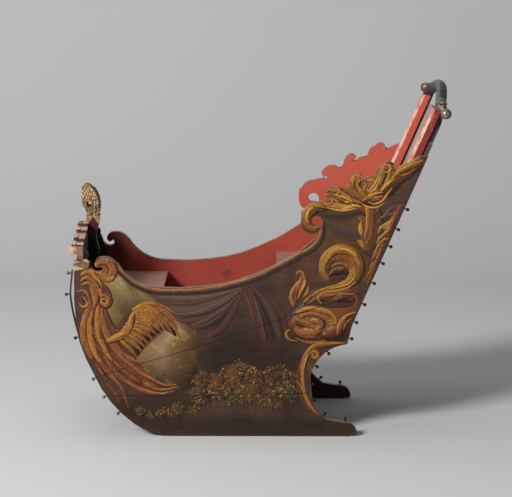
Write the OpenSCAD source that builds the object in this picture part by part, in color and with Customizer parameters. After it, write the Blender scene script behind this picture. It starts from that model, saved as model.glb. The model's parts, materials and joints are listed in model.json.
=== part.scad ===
// Push sled with two cut-out plank sides that are also its runners.
// Front at -X, rear and push handle at +X, near side at -Y, ground at Z = 0.

/* [Body] */
// Thickness of the side planks
board_t = 22; // [16:1:30]
// Clear width between the two sides
inner_w = 492; // [420:2:560]
// Open crack between two planks of a side
crack = 0.6; // [0.4:0.1:0.9]
// Thickness of the iron under the runners
iron_t = 3.5; // [2:0.5:6]

/* [Floor, deck and seat] */
// Top of the floor boards
floor_z = 113; // [100:1:140]
// Thickness of the floor boards
floor_t = 16; // [10:1:20]
// Number of floor boards across the width
floor_n = 4; // [3:1:6]
// Top of the fore deck
deck_z = 444; // [420:1:460]
// Thickness of the fore deck
deck_t = 14; // [10:1:20]
// Rear edge of the fore deck
deck_rear_x = -301; // [-330:1:-280]
// Width of the strip along the rear edge of the fore deck
deck_strip_w = 29; // [20:1:40]
// Top of the seat board
seat_z = 513; // [480:1:530]
// Thickness of the seat board
seat_t = 16; // [12:1:22]
// Front edge of the seat board
seat_front_x = 67; // [40:1:90]
// Side of the square battens that carry the seat and the deck
cleat = 24; // [18:1:30]

/* [Planking] */
// Thickness of the bow and stern planking
plank_t = 12; // [8:1:14]
// How far the bow planking lies inside the edge of the sides
bow_inset = 8; // [5:1:12]
// Number of slats in the bow planking
bow_n = 8; // [6:1:10]

/* [Stiles and back] */
// Thickness of a stile across the sled
stile_w = 32; // [26:1:38]
// Front to back size of a stile at its foot, measured level
stile_foot_d = 49; // [42:1:56]
// Front to back size of a stile at its head, measured level
stile_head_d = 37; // [32:1:42]
// Bevel along the edges of a stile
stile_bevel = 8; // [4:1:11]
// Thickness of the back panel
panel_t = 11; // [8:1:14]
// Radius of the two upper corners of the back panel
panel_corner_r = 45; // [20:1:70]

/* [Handle] */
// Radius of the leather covered bar
bar_r = 17.5; // [14:0.5:20]
// Rise of the middle of the bar above the rear corner of the sides
handle_rise = 197; // [185:1:210]
// From the top of the back panel up to the middle of the bar
hand_gap = 83; // [76:1:110]
// Radius of curvature of the arched bar
bar_arch_r = 635; // [560:5:800]
// Radius of the sleeves at the ends of the bar
sleeve_r = 17; // [14:0.5:19.5]
// Radius of the ball at each end of the handle
ball_r = 17; // [13:0.5:20]

/* [Brass knobs] */
// Radius of the knobs along the edges
knob_r = 5.5; // [4:0.5:7]
// Length of the pin under a knob
knob_pin = 7; // [5:0.5:10]
// Radius of the pin under a knob
knob_pin_r = 2.2; // [1.5:0.1:3]

/* [Crest] */
// Thickness of the crest board
crest_t = 20; // [14:1:26]
// Height of the crest board in the middle
crest_top_z = 655; // [640:1:670]
// Width of the post behind the crest
post_w = 38; // [30:1:50]
// Width of the finial across the sled
finial_w = 74; // [56:1:90]
// Radius of the lobed roll along the crest
roll_r = 11; // [8:0.5:13]
// Number of lobes on each half of the roll
roll_n = 6; // [4:1:8]

/* [Hidden] */

$fn = 48;
near = -1;
far = 1;
arc_step = 9;
seat_gap = 0.3;
half_w = inner_w / 2;
outer_w = half_w + board_t;

// Outline tables: [x, z, bulge of the arc that leaves the point].
// Bulge is the tangent of a quarter of the arc's angle, positive outward.
keel_rows = [
    [-567, 360, 0.079], [-510, 202, 0.137], [-384, 42 , 0.147],
    [-270, iron_t, 0], [319, iron_t, 0.2]];
tail_rows = [
    [323, 11, 0.3], [298, 43.5, 0], [265, 47, 0]];
scoop_rows = [
    [228, 54, -0.295], [172, 170, -0.386], [291, 300, 0]];
rear_foot = [306, 360];
rear_head = [540, 900];
leaf_rows = [
    [515, 899, 0.1], [478, 877, 0.12], [450, 866, -0.2], [438, 861, 0],
    [426, 856, -0.5], [434, 864, 0.3], [431, 877, 0.25], [414, 882, 0.2],
    [403, 874, -0.2], [392, 868, 0.2], [381, 857, -0.1], [371, 833, -0.2],
    [356, 834, 0.25], [341, 824, -0.2], [327, 822, -0.5], [334, 829, 0.4],
    [333, 840, 0.35], [317, 844, 0.25], [301, 831, 0.1], [294, 810, 0],
    [284, 795, -0.3], [273, 802, 0.15], [250, 805, 0.2], [230, 794, 0.2],
    [220, 780, 0.35], [228, 769, -0.2], [241, 764, -0.5], [236, 759, 0.05],
    [206, 759, 0], [197, 755, 0.15], [174, 750, 0.15], [157, 736, -0.15],
    [144, 722, 0]];
volute_rows = [
    [145, 713, 0.1], [144, 684, 0.25], [164, 657, 0.2], [190, 657, 0.2],
    [203, 675, 0.7], [197, 683, -0.1], [184, 683, -0.3], [176, 698, -0.4],
    [190, 711, -0.35], [209, 701, -0.25], [210, 680, -0.05], [190, 640, -0.02]];
rim_rows = [
    [141, 600, -0.063], [0, 525, -0.082], [-160, 485, -0.056], [-320, 483, -0.239]];
bow_scroll_rows = [
    [-430, 552, 0], [-433, 557, 0], [-438, 559, 0.27], [-480, 579, 0.375],
    [-507, 560, 0.39], [-498, 545, 0.3], [-488, 552, -0.25], [-482, 544, -0.42],
    [-496, 532, -0.3], [-518, 545, 0], [-522, 541, 0]];
stem_rows = [
    [-572, 533, 0], [-573, 440, 0]];

// Free stretch of the runner iron at the bow, inner face, from the top down
loose_iron = [
    [-577, 536], [-579, 510], [-582, 486], [-584, 462], [-582, 438],
    [-578, 410], [-573, 386]];

// Cracks between the planks of a side, from the front to the rear
upper_crack = [[-640, 151], [-184, 291], [0, 354], [210, 425], [700, 591]];
lower_crack = [[-640, 130], [-186, 133], [168, 141], [700, 153]];

// Heights of the knobs on the bow and on the stern edge, and the one on the tail
bow_knob_z = [526, 459, 320, 188, 131, 78];
stern_knob_z = [64, 114, 169, 230, 276, 318, 372, 430, 498, 562, 616, 670, 734];
tail_knob_x = 286;

function turn(p, a) = [p.x * cos(a) - p.y * sin(a), p.x * sin(a) + p.y * cos(a)];
function left_of(v) = [-v.y, v.x] / norm(v);

// Points of the arc from a to b with bulge k, without b itself
function arc(a, b, k) = k == 0 ? [a] :
    let (v = b - a, angle = 4 * atan(k), n = max(2, ceil(abs(angle) / arc_step)),
         c = (a + b) / 2 + left_of(v) * norm(v) * (1 - k * k) / (4 * k))
    [for (i = [0 : n - 1]) c + turn(a - c, angle * i / n)];

// Points of an open outline given by a table
function run(rows, last) = [for (i = [0 : len(rows) - 1])
    let (a = rows[i], b = i + 1 < len(rows) ? rows[i + 1] : last)
    each arc([a.x, a.y], [b.x, b.y], a[2])];

// Points of a closed outline given by a table
function closed(rows) = run(rows, rows[0]);

// A path moved sideways by d, to its right when d is positive
function beside(path, d) = [for (i = [0 : len(path) - 1])
    let (a = path[max(i - 1, 0)], b = path[i], c = path[min(i + 1, len(path) - 1)],
         u = i == 0 ? left_of(c - b) : left_of(b - a),
         w = i == len(path) - 1 ? u : left_of(c - b), m = u + w)
    b - m * d * 2 / (m * m)];

function flip(path) = [for (i = [len(path) - 1 : -1 : 0]) path[i]];

// First stretch of a path that crosses the height z
function crossing(path, z) = [for (i = [0 : len(path) - 2])
    if ((path[i].y - z) * (path[i + 1].y - z) <= 0 && path[i].y != path[i + 1].y) i][0];

// Place on a path at the height z
function at_height(path, z) = let (i = crossing(path, z), a = path[i], b = path[i + 1])
    a + (b - a) * (z - a.y) / (b.y - a.y);

// Outward direction, in degrees, at the height z of a path that keeps the sled on its left
function outward(path, z) = let (i = crossing(path, z), v = path[i + 1] - path[i])
    atan2(-v.x, v.y);

keel = run(keel_rows, tail_rows[0]);
tail = run(tail_rows, scoop_rows[0]);
scoop = run(scoop_rows, rear_foot);
leaves = run(leaf_rows, volute_rows[0]);
volute = run(volute_rows, rim_rows[0]);
rim = run(rim_rows, bow_scroll_rows[0]);
bow_scroll = run(bow_scroll_rows, stem_rows[0]);
stem = run(stem_rows, keel_rows[0]);
side_outline = concat(keel, tail, scoop, [rear_foot, rear_head], leaves, volute, rim,
                      bow_scroll, stem);
stern_edge = concat(scoop, [rear_foot, rear_head]);
bow_edge = concat(stem, keel);
iron_end = len(run([for (i = [0 : 3]) keel_rows[i]], keel_rows[4]));
iron_path = concat(loose_iron, [for (i = [0 : iron_end - 1]) keel[i]],
                   [[300, iron_t]]);

// Lean of the stern edge, and its place at a height
lean = atan((rear_head.x - rear_foot.x) / (rear_head.y - rear_foot.y));
function stern_x(z) = rear_foot.x + (z - rear_foot.y) * tan(lean);
panel_level = panel_t / cos(lean);

// Middle and ends of the handle bar, in the plane of the stiles
bar_top_z = rear_head.y + handle_rise;
panel_top_z = bar_top_z - hand_gap;
bar_top = [stern_x(bar_top_z) - panel_level - stile_head_d / 2, 0, bar_top_z];
bar_centre = bar_top - bar_arch_r * [sin(lean), 0, cos(lean)];
bar_half = asin((half_w - stile_w - 6) / bar_arch_r);
sleeve_half = asin((half_w + 2) / bar_arch_r);
near_ball = [stern_x(bar_top_z) - 33, -half_w - 38, bar_top_z - 63];
far_ball = [stern_x(bar_top_z) - 56, half_w + 36, bar_top_z - 31];
function on_bar(a) = bar_centre + bar_arch_r
    * [sin(lean) * cos(a), sin(a), cos(lean) * cos(a)];

// The drawing is moved along X so that the sled is centred on its origin
front_reach = min([for (z = bow_knob_z) at_height(iron_path, z).x]) - iron_t - knob_pin - knob_r;
rear_reach = near_ball.x + ball_r;
datum_x = -(front_reach + rear_reach) / 2;

module placed() {
    translate([datum_x, 0, 0]) children();
}

// A drawing in X and Z made t thick, from y_low towards +Y
module upright(y_low, t) {
    translate([0, y_low + t, 0]) rotate([90, 0, 0]) linear_extrude(height = t) children();
}

module on_side(side) {
    upright(side < 0 ? -outer_w : half_w, board_t) children();
}

// A block from one corner to the other
module block(low, high) {
    translate(low) cube(high - low);
}

module limb(p, q, r1, r2) {
    v = q - p;
    translate(p) rotate([0, acos(v.z / norm(v)), atan2(v.y, v.x)])
        cylinder(h = norm(v), r1 = r1, r2 = r2);
}

// Between two heights of crack lines, one plank's share of the side
module band(low, high) {
    polygon(concat([for (p = low) p + [0, crack / 2]],
                   [for (p = flip(high)) p - [0, crack / 2]]));
}

module lower_plank(side) {
    on_side(side) intersection() {
        polygon(side_outline);
        band([[-640, -40], [700, -40]], lower_crack);
    }
}

module middle_plank(side) {
    on_side(side) intersection() {
        polygon(side_outline);
        band(lower_crack, upper_crack);
    }
}

module upper_plank(side) {
    on_side(side) intersection() {
        polygon(side_outline);
        band(upper_crack, [[-640, 1000], [700, 1000]]);
    }
}

// Flat iron nailed along the sole and up the bow, sprung off the wood at its top
module runner_iron(side) {
    on_side(side) polygon(concat(beside(iron_path, iron_t), flip(iron_path)));
}

module knob() {
    cylinder(h = knob_pin, r = knob_pin_r, $fn = 16);
    translate([0, 0, knob_pin + knob_r * 0.7]) sphere(r = knob_r, $fn = 24);
}

module knob_on(path, z, side) {
    p = at_height(path, z);
    translate([p.x, side * (half_w + board_t / 2), p.y])
        rotate([0, 90 - outward(path, z), 0]) knob();
}

module edge_knobs(side) {
    iron_face = beside(iron_path, iron_t);
    for (z = bow_knob_z) knob_on(iron_face, z, side);
    for (z = stern_knob_z) knob_on(stern_edge, z, side);
    tail_slope = atan2(tail_rows[1].y - tail_rows[2].y, tail_rows[1].x - tail_rows[2].x);
    translate([tail_knob_x, side * (half_w + board_t / 2),
               tail_rows[2].y + (tail_knob_x - tail_rows[2].x) * tan(tail_slope)])
        rotate([0, -tail_slope, 0]) knob();
}

// One slat between two points of a path and the path t further in
module slat(a, b, t) {
    v = (b - a) / norm(b - a);
    n = left_of(b - a) * t;
    upright(-half_w, inner_w)
        polygon([a + v * crack / 2, b - v * crack / 2, b - v * crack / 2 + n, a + v * crack / 2 + n]);
}

bow_top_z = deck_z + 6;
bow_low_z = floor_z - floor_t;
bow_line = [for (i = [0 : bow_n])
    at_height(bow_edge, bow_top_z + (bow_low_z - bow_top_z) * i / bow_n)];
bow_face = beside(bow_line, -bow_inset);
bow_back = beside(bow_line, -bow_inset - plank_t);

module bow_planking() {
    for (i = [0 : bow_n - 1])
        upright(-half_w, inner_w) polygon([
            bow_face[i] - [0, crack / 2], bow_face[i + 1] + [0, crack / 2],
            bow_back[i + 1] + [0, crack / 2], bow_back[i] - [0, crack / 2]]);
}

stern_line = [for (p = scoop) if (p.y > floor_z - floor_t - 1) p];
stern_back = beside(stern_line, -plank_t);

module stern_planking() {
    for (i = [0 : 2 : len(stern_line) - 3])
        upright(-half_w, inner_w) polygon([
            stern_line[i] + [0, crack / 2], stern_line[i + 1], stern_line[i + 2] - [0, crack / 2],
            stern_back[i + 2] - [0, crack / 2], stern_back[i + 1], stern_back[i] + [0, crack / 2]]);
}

floor_front_x = bow_back[bow_n].x + seat_gap;
floor_rear_x = min([for (p = stern_back) p.x]) - 1;

module floor_boards() {
    w = inner_w / floor_n;
    for (i = [0 : floor_n - 1])
        block([floor_front_x, -half_w + w * i + crack / 2, floor_z - floor_t],
              [floor_rear_x, -half_w + w * (i + 1) - crack / 2, floor_z]);
}

bearer_w = 42;
bearer_h = 26;
bearer_x = [floor_front_x + 60, -130, 90];

module floor_bearers() {
    for (x = bearer_x)
        block([x, -half_w, floor_z - floor_t - bearer_h], [x + bearer_w, half_w, floor_z - floor_t]);
}

deck_front_x = at_height(bow_back, deck_z).x + 2;
deck_split_x = deck_rear_x - deck_strip_w;

module fore_deck() {
    block([deck_front_x, -half_w, deck_z - deck_t], [deck_split_x - crack / 2, half_w, deck_z]);
}

module deck_rear_strip() {
    block([deck_split_x + crack / 2, -half_w, deck_z - deck_t], [deck_rear_x, half_w, deck_z]);
}

bulkhead_t = 14;
bulkhead_x = deck_rear_x - 2;

module bulkhead() {
    block([bulkhead_x - bulkhead_t, -half_w, floor_z], [bulkhead_x, half_w, deck_z - deck_t]);
}

module deck_battens() {
    for (s = [near, far]) {
        y = s < 0 ? -half_w : half_w - cleat;
        block([deck_front_x + 24, y, deck_z - deck_t - cleat],
              [bulkhead_x - bulkhead_t, y + cleat, deck_z - deck_t]);
    }
}

seat_rear_x = stern_x(seat_z - seat_t) - panel_level;

module seat_board() {
    difference() {
        upright(-half_w, inner_w) polygon([
            [seat_front_x, seat_z - seat_t], [seat_rear_x, seat_z - seat_t],
            [seat_rear_x + seat_t * tan(lean), seat_z], [seat_front_x, seat_z]]);
        for (s = [near, far]) stile_blank(s, seat_gap);
    }
}

module seat_battens() {
    for (s = [near, far]) {
        y = s < 0 ? -half_w : half_w - cleat;
        block([seat_front_x + 15, y, seat_z - seat_t - cleat],
              [seat_rear_x - stile_foot_d - cleat, y + cleat, seat_z - seat_t]);
    }
}

batten_w = 34;
batten_x = seat_front_x + 50;

// Upright battens that tie the planks of each side together
module side_battens() {
    for (s = [near, far]) {
        y = s < 0 ? -half_w : half_w - cleat;
        block([bulkhead_x - bulkhead_t - batten_w, y, floor_z],
              [bulkhead_x - bulkhead_t, y + cleat, deck_z - deck_t - cleat]);
        block([batten_x, y, floor_z], [batten_x + batten_w, y + cleat, seat_z - seat_t - cleat]);
    }
}

// Back panel drawn flat, with rounded upper corners; v is measured up the lean
panel_foot_v = (scoop_rows[2].y + 14 - rear_foot.y) / cos(lean);
panel_top_v = (panel_top_z - rear_foot.y) / cos(lean);
panel_shoulder_v = (rear_head.y + 32 - rear_foot.y) / cos(lean);
panel_split = [0, 0.27, 0.54, 0.8, 1];

module panel_outline() {
    shoulder = half_w - 12;
    r = panel_corner_r;
    top = panel_top_v;
    polygon(concat(
        [[-half_w, panel_foot_v], [half_w, panel_foot_v], [half_w, panel_shoulder_v],
         [shoulder, panel_shoulder_v + 8]],
        [for (a = [0 : 15 : 90]) [shoulder - r + r * cos(a), top - r + r * sin(a)]],
        [for (a = [90 : 15 : 180]) [-shoulder + r + r * cos(a), top - r + r * sin(a)]],
        [[-shoulder, panel_shoulder_v + 8], [-half_w, panel_shoulder_v]]));
}

module back_panel() {
    length_v = panel_top_v - panel_foot_v;
    for (i = [0 : len(panel_split) - 2])
        translate([rear_foot.x, 0, rear_foot.y]) rotate([0, lean, 0])
            rotate([90, 0, -90]) linear_extrude(height = panel_t) intersection() {
                panel_outline();
                translate([-half_w, panel_foot_v + length_v * panel_split[i] + crack / 2])
                    square([inner_w, length_v * (panel_split[i + 1] - panel_split[i]) - crack]);
            }
}

rail_h = 40;
rail_t = 16;

// Rail across the back under the seat, from stile to stile
module back_rail() {
    z = seat_z - seat_t - 52;
    x = stern_x(z) - panel_level;
    upright(-half_w + stile_w, inner_w - 2 * stile_w) polygon([
        [x - rail_t, z], [x, z], [x + rail_h * tan(lean), z + rail_h],
        [x + rail_h * tan(lean) - rail_t, z + rail_h]]);
}

stile_foot_z = scoop_rows[2].y + 16;
stile_top_z = bar_top_z - 50;

// Stile without its bevels, made larger all round by grow
module stile_blank(side, grow) {
    y_low = side < 0 ? -half_w : half_w - stile_w;
    xf = stern_x(stile_foot_z) - panel_level;
    xt = stern_x(stile_top_z) - panel_level;
    upright(y_low - grow, stile_w + 2 * grow) polygon([
        [xf - stile_foot_d - grow, stile_foot_z], [xf + grow, stile_foot_z],
        [xt + grow, stile_top_z], [xt - stile_head_d - grow, stile_top_z]]);
}

// Long square bar along one edge of a stile, which planes the bevel off
module bevel_cut(p, q, y) {
    v = q - p;
    size = stile_bevel * sqrt(2);
    translate([p.x, y, p.y]) rotate([0, atan2(v.x, v.y), 0]) rotate([0, 0, 45])
        translate([-size / 2, -size / 2, -30]) cube([size, size, norm(v) + 60]);
}

module stile(side) {
    y_low = side < 0 ? -half_w : half_w - stile_w;
    xf = stern_x(stile_foot_z) - panel_level;
    xt = stern_x(stile_top_z) - panel_level;
    difference() {
        stile_blank(side, 0);
        for (y = [y_low, y_low + stile_w]) {
            bevel_cut([xf - stile_foot_d, stile_foot_z], [xt - stile_head_d, stile_top_z], y);
            bevel_cut([xf, stile_foot_z], [xt, stile_top_z], y);
        }
        arched_bar(-sleeve_half - 3, sleeve_half + 3, sleeve_r + seat_gap);
    }
}

// Stretch of the arched bar between two angles from its middle
module arched_bar(from, to, r) {
    translate(bar_centre) rotate([0, lean - 90, 0]) rotate([0, 0, from])
        rotate_extrude(angle = to - from) translate([bar_arch_r, 0]) circle(r = r);
}

module handle_bar() {
    arched_bar(-bar_half, bar_half, bar_r);
}

// Sleeve on the bar, a short neck and the ball outside the stile
module handle_end(side) {
    ball = side < 0 ? near_ball : far_ball;
    if (side < 0) arched_bar(-sleeve_half, -bar_half, sleeve_r);
    else arched_bar(bar_half, sleeve_half, sleeve_r);
    tip = on_bar(side * sleeve_half);
    limb(tip, ball, sleeve_r * 0.75, sleeve_r * 0.5);
    translate(ball) sphere(r = ball_r);
}

// Half of the crest's top edge: [y, z]
crest_half = [
    [half_w, deck_z + 90], [half_w, crest_top_z - 75], [half_w - 8, crest_top_z - 50],
    [half_w - 24, crest_top_z - 36], [half_w - 66, crest_top_z - 30],
    [107, crest_top_z - 22], [60, crest_top_z - 9], [0, crest_top_z]];
crest_x = stem_rows[1].x + bow_inset;

module crest_board() {
    low_z = bow_top_z + 0.5;
    translate([crest_x, 0, 0]) rotate([90, 0, 90]) linear_extrude(height = crest_t)
        polygon(concat([[-half_w, low_z], [half_w, low_z]], crest_half,
                       [for (p = flip(crest_half)) if (p.x > 0) [-p.x, p.y]]));
}

// Lobed bracket in each corner behind the crest
module crest_knees() {
    knee_t = 16;
    for (s = [near, far])
        upright(s < 0 ? -half_w : half_w - knee_t, knee_t)
            polygon(closed([
                [crest_x + crest_t, deck_z, 0], [crest_x + crest_t + 50, deck_z, 0],
                [crest_x + crest_t + 26, deck_z + 96, 0.2], [crest_x + crest_t + 22, deck_z + 118, -0.2],
                [crest_x + crest_t + 13, crest_top_z - 87, 0.35],
                [crest_x + crest_t + 14, crest_top_z - 63, -0.2],
                [crest_x + crest_t + 4, crest_top_z - 56, 0.1],
                [crest_x + crest_t, crest_top_z - 43, 0]]));
}

roll_x = crest_x - roll_r * 0.7;

// Gilded roll of lobes along the top of the crest, ending in a ball on each side
module crest_roll() {
    path = [for (p = crest_half) if (p.y > crest_top_z - 45) [roll_x, p.x, p.y - roll_r]];
    difference() {
        for (s = [near, far]) {
            for (i = [0 : len(path) - 2])
                limb(mirror_y(path[i], s), mirror_y(path[i + 1], s), roll_r * 0.72, roll_r * 0.72);
            for (i = [0 : roll_n - 1]) {
                y = 16 + (half_w - 56) * i / (roll_n - 1);
                p = [roll_x, y, crest_edge_z(y) - roll_r];
                q = [roll_x, y + 22, crest_edge_z(y + 22) - roll_r];
                limb(mirror_y(p, s), mirror_y(q, s), roll_r, roll_r);
            }
            translate([roll_x - 4, s * (half_w - 18), crest_top_z - 60]) sphere(r = roll_r * 1.5);
        }
        block([crest_x, -outer_w, deck_z], [crest_x + crest_t, outer_w, bar_top_z]);
    }
}

function mirror_y(p, s) = [p.x, p.y * s, p.z];

// Height of the crest's top edge at a distance y from the middle
function crest_edge_z(y) = let (i = [for (k = [2 : len(crest_half) - 2])
        if (crest_half[k].x >= y && crest_half[k + 1].x <= y) k][0],
        a = crest_half[i], b = crest_half[i + 1])
    a.y + (b.y - a.y) * (a.x - y) / (a.x - b.x);

// Rolled leaf standing on the front corner of each side
module crest_feet() {
    foot_w = board_t - 2;
    corner = [stem_rows[0].x, stem_rows[0].y + seat_gap];
    for (s = [near, far])
        upright(s < 0 ? -outer_w + 1 : half_w + 1, foot_w) translate(corner) union() {
            polygon(closed([
                [1, 0.2, 0], [42, 6.8, 0.2], [49, 19, 0.3], [41, 34, 0.15],
                [22, 33, -0.2], [10, 41, 0.3], [-4, 23, 0]]));
            translate([37, 26]) circle(r = 12);
        }
}

post_top_z = crest_top_z + 21;

module crest_post() {
    x = crest_x + crest_t;
    upright(-post_w / 2, post_w) polygon(closed([
        [x, deck_z, 0], [x + 30, deck_z, 0], [x + 32, crest_top_z - 95, -0.05],
        [x + 22, crest_top_z - 45, 0.05], [x + 34, crest_top_z + 5, 0],
        [x + 36, post_top_z, 0], [x - 8, post_top_z, 0],
        [x - 8, crest_top_z + seat_gap, 0], [x, crest_top_z + seat_gap, 0]]));
}

// Pierced bud on the post: side profile crossed with front profile
module finial() {
    translate([crest_x, 0, post_top_z + seat_gap]) difference() {
        intersection() {
            upright(-finial_w / 2, finial_w) polygon(closed([
                [12, 0, 0], [53, 0, 0.1], [57, 24, 0.14], [45, 76, 0.12],
                [17, 103, 0.3], [-2, 94, 0.03], [-2, 40, 0.3], [9, 23, 0]]));
            translate([-15, 0, 0]) rotate([90, 0, 90]) linear_extrude(height = 90)
                polygon(closed([
                    [-24, 0, 0], [24, 0, -0.1], [30, 22, 0.1], [finial_w / 2, 44, 0.25],
                    [14, 102, 0.2], [-14, 102, 0.25], [-finial_w / 2, 44, 0.1], [-30, 22, -0.1]]));
        }
        upright(-finial_w / 2 - 1, finial_w + 2) polygon(closed([
            [16, 31, 0.3], [27, 30, 0.3], [26, 46, 0.4], [16, 44, 0]]));
    }
}

color("#4a3a2e") placed() lower_plank(near);  // near_lower_plank
color("#5a4033") placed() middle_plank(near);  // near_middle_plank
color("#6b4a35") placed() upper_plank(near);  // near_upper_plank
color("#4a3a2e") placed() lower_plank(far);  // far_lower_plank
color("#5a4033") placed() middle_plank(far);  // far_middle_plank
color("#a04438") placed() upper_plank(far);  // far_upper_plank
color("#2b2826") placed() runner_iron(near);  // near_runner_iron
color("#2b2826") placed() runner_iron(far);  // far_runner_iron
color("#a07c45") placed() edge_knobs(near);  // near_edge_knobs
color("#a07c45") placed() edge_knobs(far);  // far_edge_knobs
color("#8c4a3c") placed() floor_boards();
color("#5b4636") placed() floor_bearers();
color("#4d3228") placed() bow_planking();
color("#4d3228") placed() stern_planking();
color("#94665a") placed() fore_deck();
color("#a5776a") placed() deck_rear_strip();
color("#53261f") placed() bulkhead();
color("#7a3a30") placed() deck_battens();
color("#8a4034") placed() side_battens();
color("#b57d6c") placed() seat_board();
color("#8a4034") placed() seat_battens();
color("#9a8577") placed() back_panel();
color("#8a4034") placed() back_rail();
color("#b54a3e") placed() stile(near);  // near_stile
color("#c45544") placed() stile(far);  // far_stile
color("#6f6f68") placed() handle_bar();
color("#8d7a5c") placed() handle_end(near);  // near_handle_end
color("#8d7a5c") placed() handle_end(far);  // far_handle_end
color("#4f211c") placed() crest_board();
color("#3a1a17") placed() crest_knees();
color("#c9a877") placed() crest_roll();
color("#c49a5a") placed() crest_feet();
color("#7c3030") placed() crest_post();
color("#c2a06a") placed() finial();
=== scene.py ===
import json
import math
import random

import bpy
import numpy as np
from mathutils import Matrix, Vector, noise


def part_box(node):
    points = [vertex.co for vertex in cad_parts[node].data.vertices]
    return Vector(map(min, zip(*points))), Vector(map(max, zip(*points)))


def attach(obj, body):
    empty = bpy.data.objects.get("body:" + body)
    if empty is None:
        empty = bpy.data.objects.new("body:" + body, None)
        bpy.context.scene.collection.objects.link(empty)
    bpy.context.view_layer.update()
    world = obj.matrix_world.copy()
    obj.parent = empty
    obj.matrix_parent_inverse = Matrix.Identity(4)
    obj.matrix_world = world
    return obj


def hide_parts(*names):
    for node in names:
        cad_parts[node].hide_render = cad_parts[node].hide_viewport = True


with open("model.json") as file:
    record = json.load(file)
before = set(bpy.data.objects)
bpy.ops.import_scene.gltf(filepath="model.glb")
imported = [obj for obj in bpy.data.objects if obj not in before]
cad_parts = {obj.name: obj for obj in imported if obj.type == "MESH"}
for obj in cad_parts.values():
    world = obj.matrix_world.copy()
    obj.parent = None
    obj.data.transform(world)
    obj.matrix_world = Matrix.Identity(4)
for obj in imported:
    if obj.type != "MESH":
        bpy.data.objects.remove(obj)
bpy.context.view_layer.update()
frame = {"nodes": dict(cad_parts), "record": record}
nodes = frame["nodes"]
print("frame loaded:", len(nodes), "CAD nodes")

# The drawings on the sides count x and z in millimetres from the deck's rear edge
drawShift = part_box("deck_rear_strip")[1].x + 0.301
outerY = -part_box("near_middle_plank")[0].y


# Camera, lamps and backdrop

cameraSetup = {
    "place": (0.0402, -6.768, 1.694),
    "tiltDown": 9.49,
    "turn": 0.38,
    "lens": 147.3,
}
lampSetup = {
    "key": {"place": (-4.6, -5.3, 4.5), "aim": (0.1, 0.0, 0.35), "size": 1.9, "power": 730},
    "fill": {"place": (2.6, -5.4, 2.2), "aim": (0.0, 0.0, 0.5), "size": 3.0, "power": 30},
    "top": {"place": (-0.6, 0.2, 4.4), "aim": (0.0, 0.1, 0.3), "size": 2.6, "power": 30},
}
worldGrey = {"colour": (0.82, 0.82, 0.83), "strength": 0.15}
backdropSetup = {
    "front": -9.0, "back": 4.6, "half": 9.0, "height": 7.0, "bend": 2.2, "steps": 14,
    "colour": "#c9c9c9",
}


def hexColour(text):
    parts = [int(text[i:i + 2], 16) / 255 for i in (1, 3, 5)]
    return tuple(c / 12.92 if c <= 0.04045 else ((c + 0.055) / 1.055) ** 2.4 for c in parts) + (1.0,)


def addCamera(setup):
    camera = bpy.data.objects.new("camera", bpy.data.cameras.new("camera"))
    camera.data.lens = setup["lens"]
    camera.data.sensor_width = 36
    camera.location = setup["place"]
    camera.rotation_euler = (math.radians(90 - setup["tiltDown"]), 0, math.radians(setup["turn"]))
    bpy.context.scene.collection.objects.link(camera)
    bpy.context.scene.camera = camera


def addLamp(name, setup):
    lamp = bpy.data.objects.new(name, bpy.data.lights.new(name, "AREA"))
    lamp.data.size = setup["size"]
    lamp.data.energy = setup["power"]
    lamp.location = setup["place"]
    aim = Vector(setup["aim"]) - Vector(setup["place"])
    lamp.rotation_euler = aim.to_track_quat("-Z", "Y").to_euler()
    bpy.context.scene.collection.objects.link(lamp)


def newObject(name, points, faces, smooth=True):
    mesh = bpy.data.meshes.new(name)
    mesh.from_pydata([tuple(p) for p in points], [], [tuple(f) for f in faces])
    mesh.update()
    if smooth:
        mesh.polygons.foreach_set("use_smooth", [True] * len(mesh.polygons))
    piece = bpy.data.objects.new(name, mesh)
    bpy.context.scene.collection.objects.link(piece)
    return piece


def addBackdrop(setup):
    bend = setup["bend"]
    profile = [(setup["front"], 0.0), (setup["back"] - bend, 0.0)]
    for i in range(1, setup["steps"] + 1):
        angle = math.pi / 2 * i / setup["steps"]
        profile.append((setup["back"] - bend + bend * math.sin(angle), bend - bend * math.cos(angle)))
    profile.append((setup["back"], setup["height"]))
    points = [(side * setup["half"], y, z - 0.0004) for y, z in profile for side in (-1, 1)]
    faces = [(2 * i, 2 * i + 1, 2 * i + 3, 2 * i + 2) for i in range(len(profile) - 1)]
    backdrop = newObject("backdrop", points, faces)
    return backdrop


addCamera(cameraSetup)
for lampName, setup in lampSetup.items():
    addLamp(lampName, setup)
backdrop = addBackdrop(backdropSetup)
scene = bpy.context.scene
scene.view_settings.view_transform = "Standard"
scene.world = bpy.data.worlds.new("studio")
scene.world.use_nodes = True
worldShader = scene.world.node_tree.nodes["Background"]
worldShader.inputs["Color"].default_value = worldGrey["colour"] + (1.0,)
worldShader.inputs["Strength"].default_value = worldGrey["strength"]
print("camera, lamps and backdrop made")


# Short ways to write node trees

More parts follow.
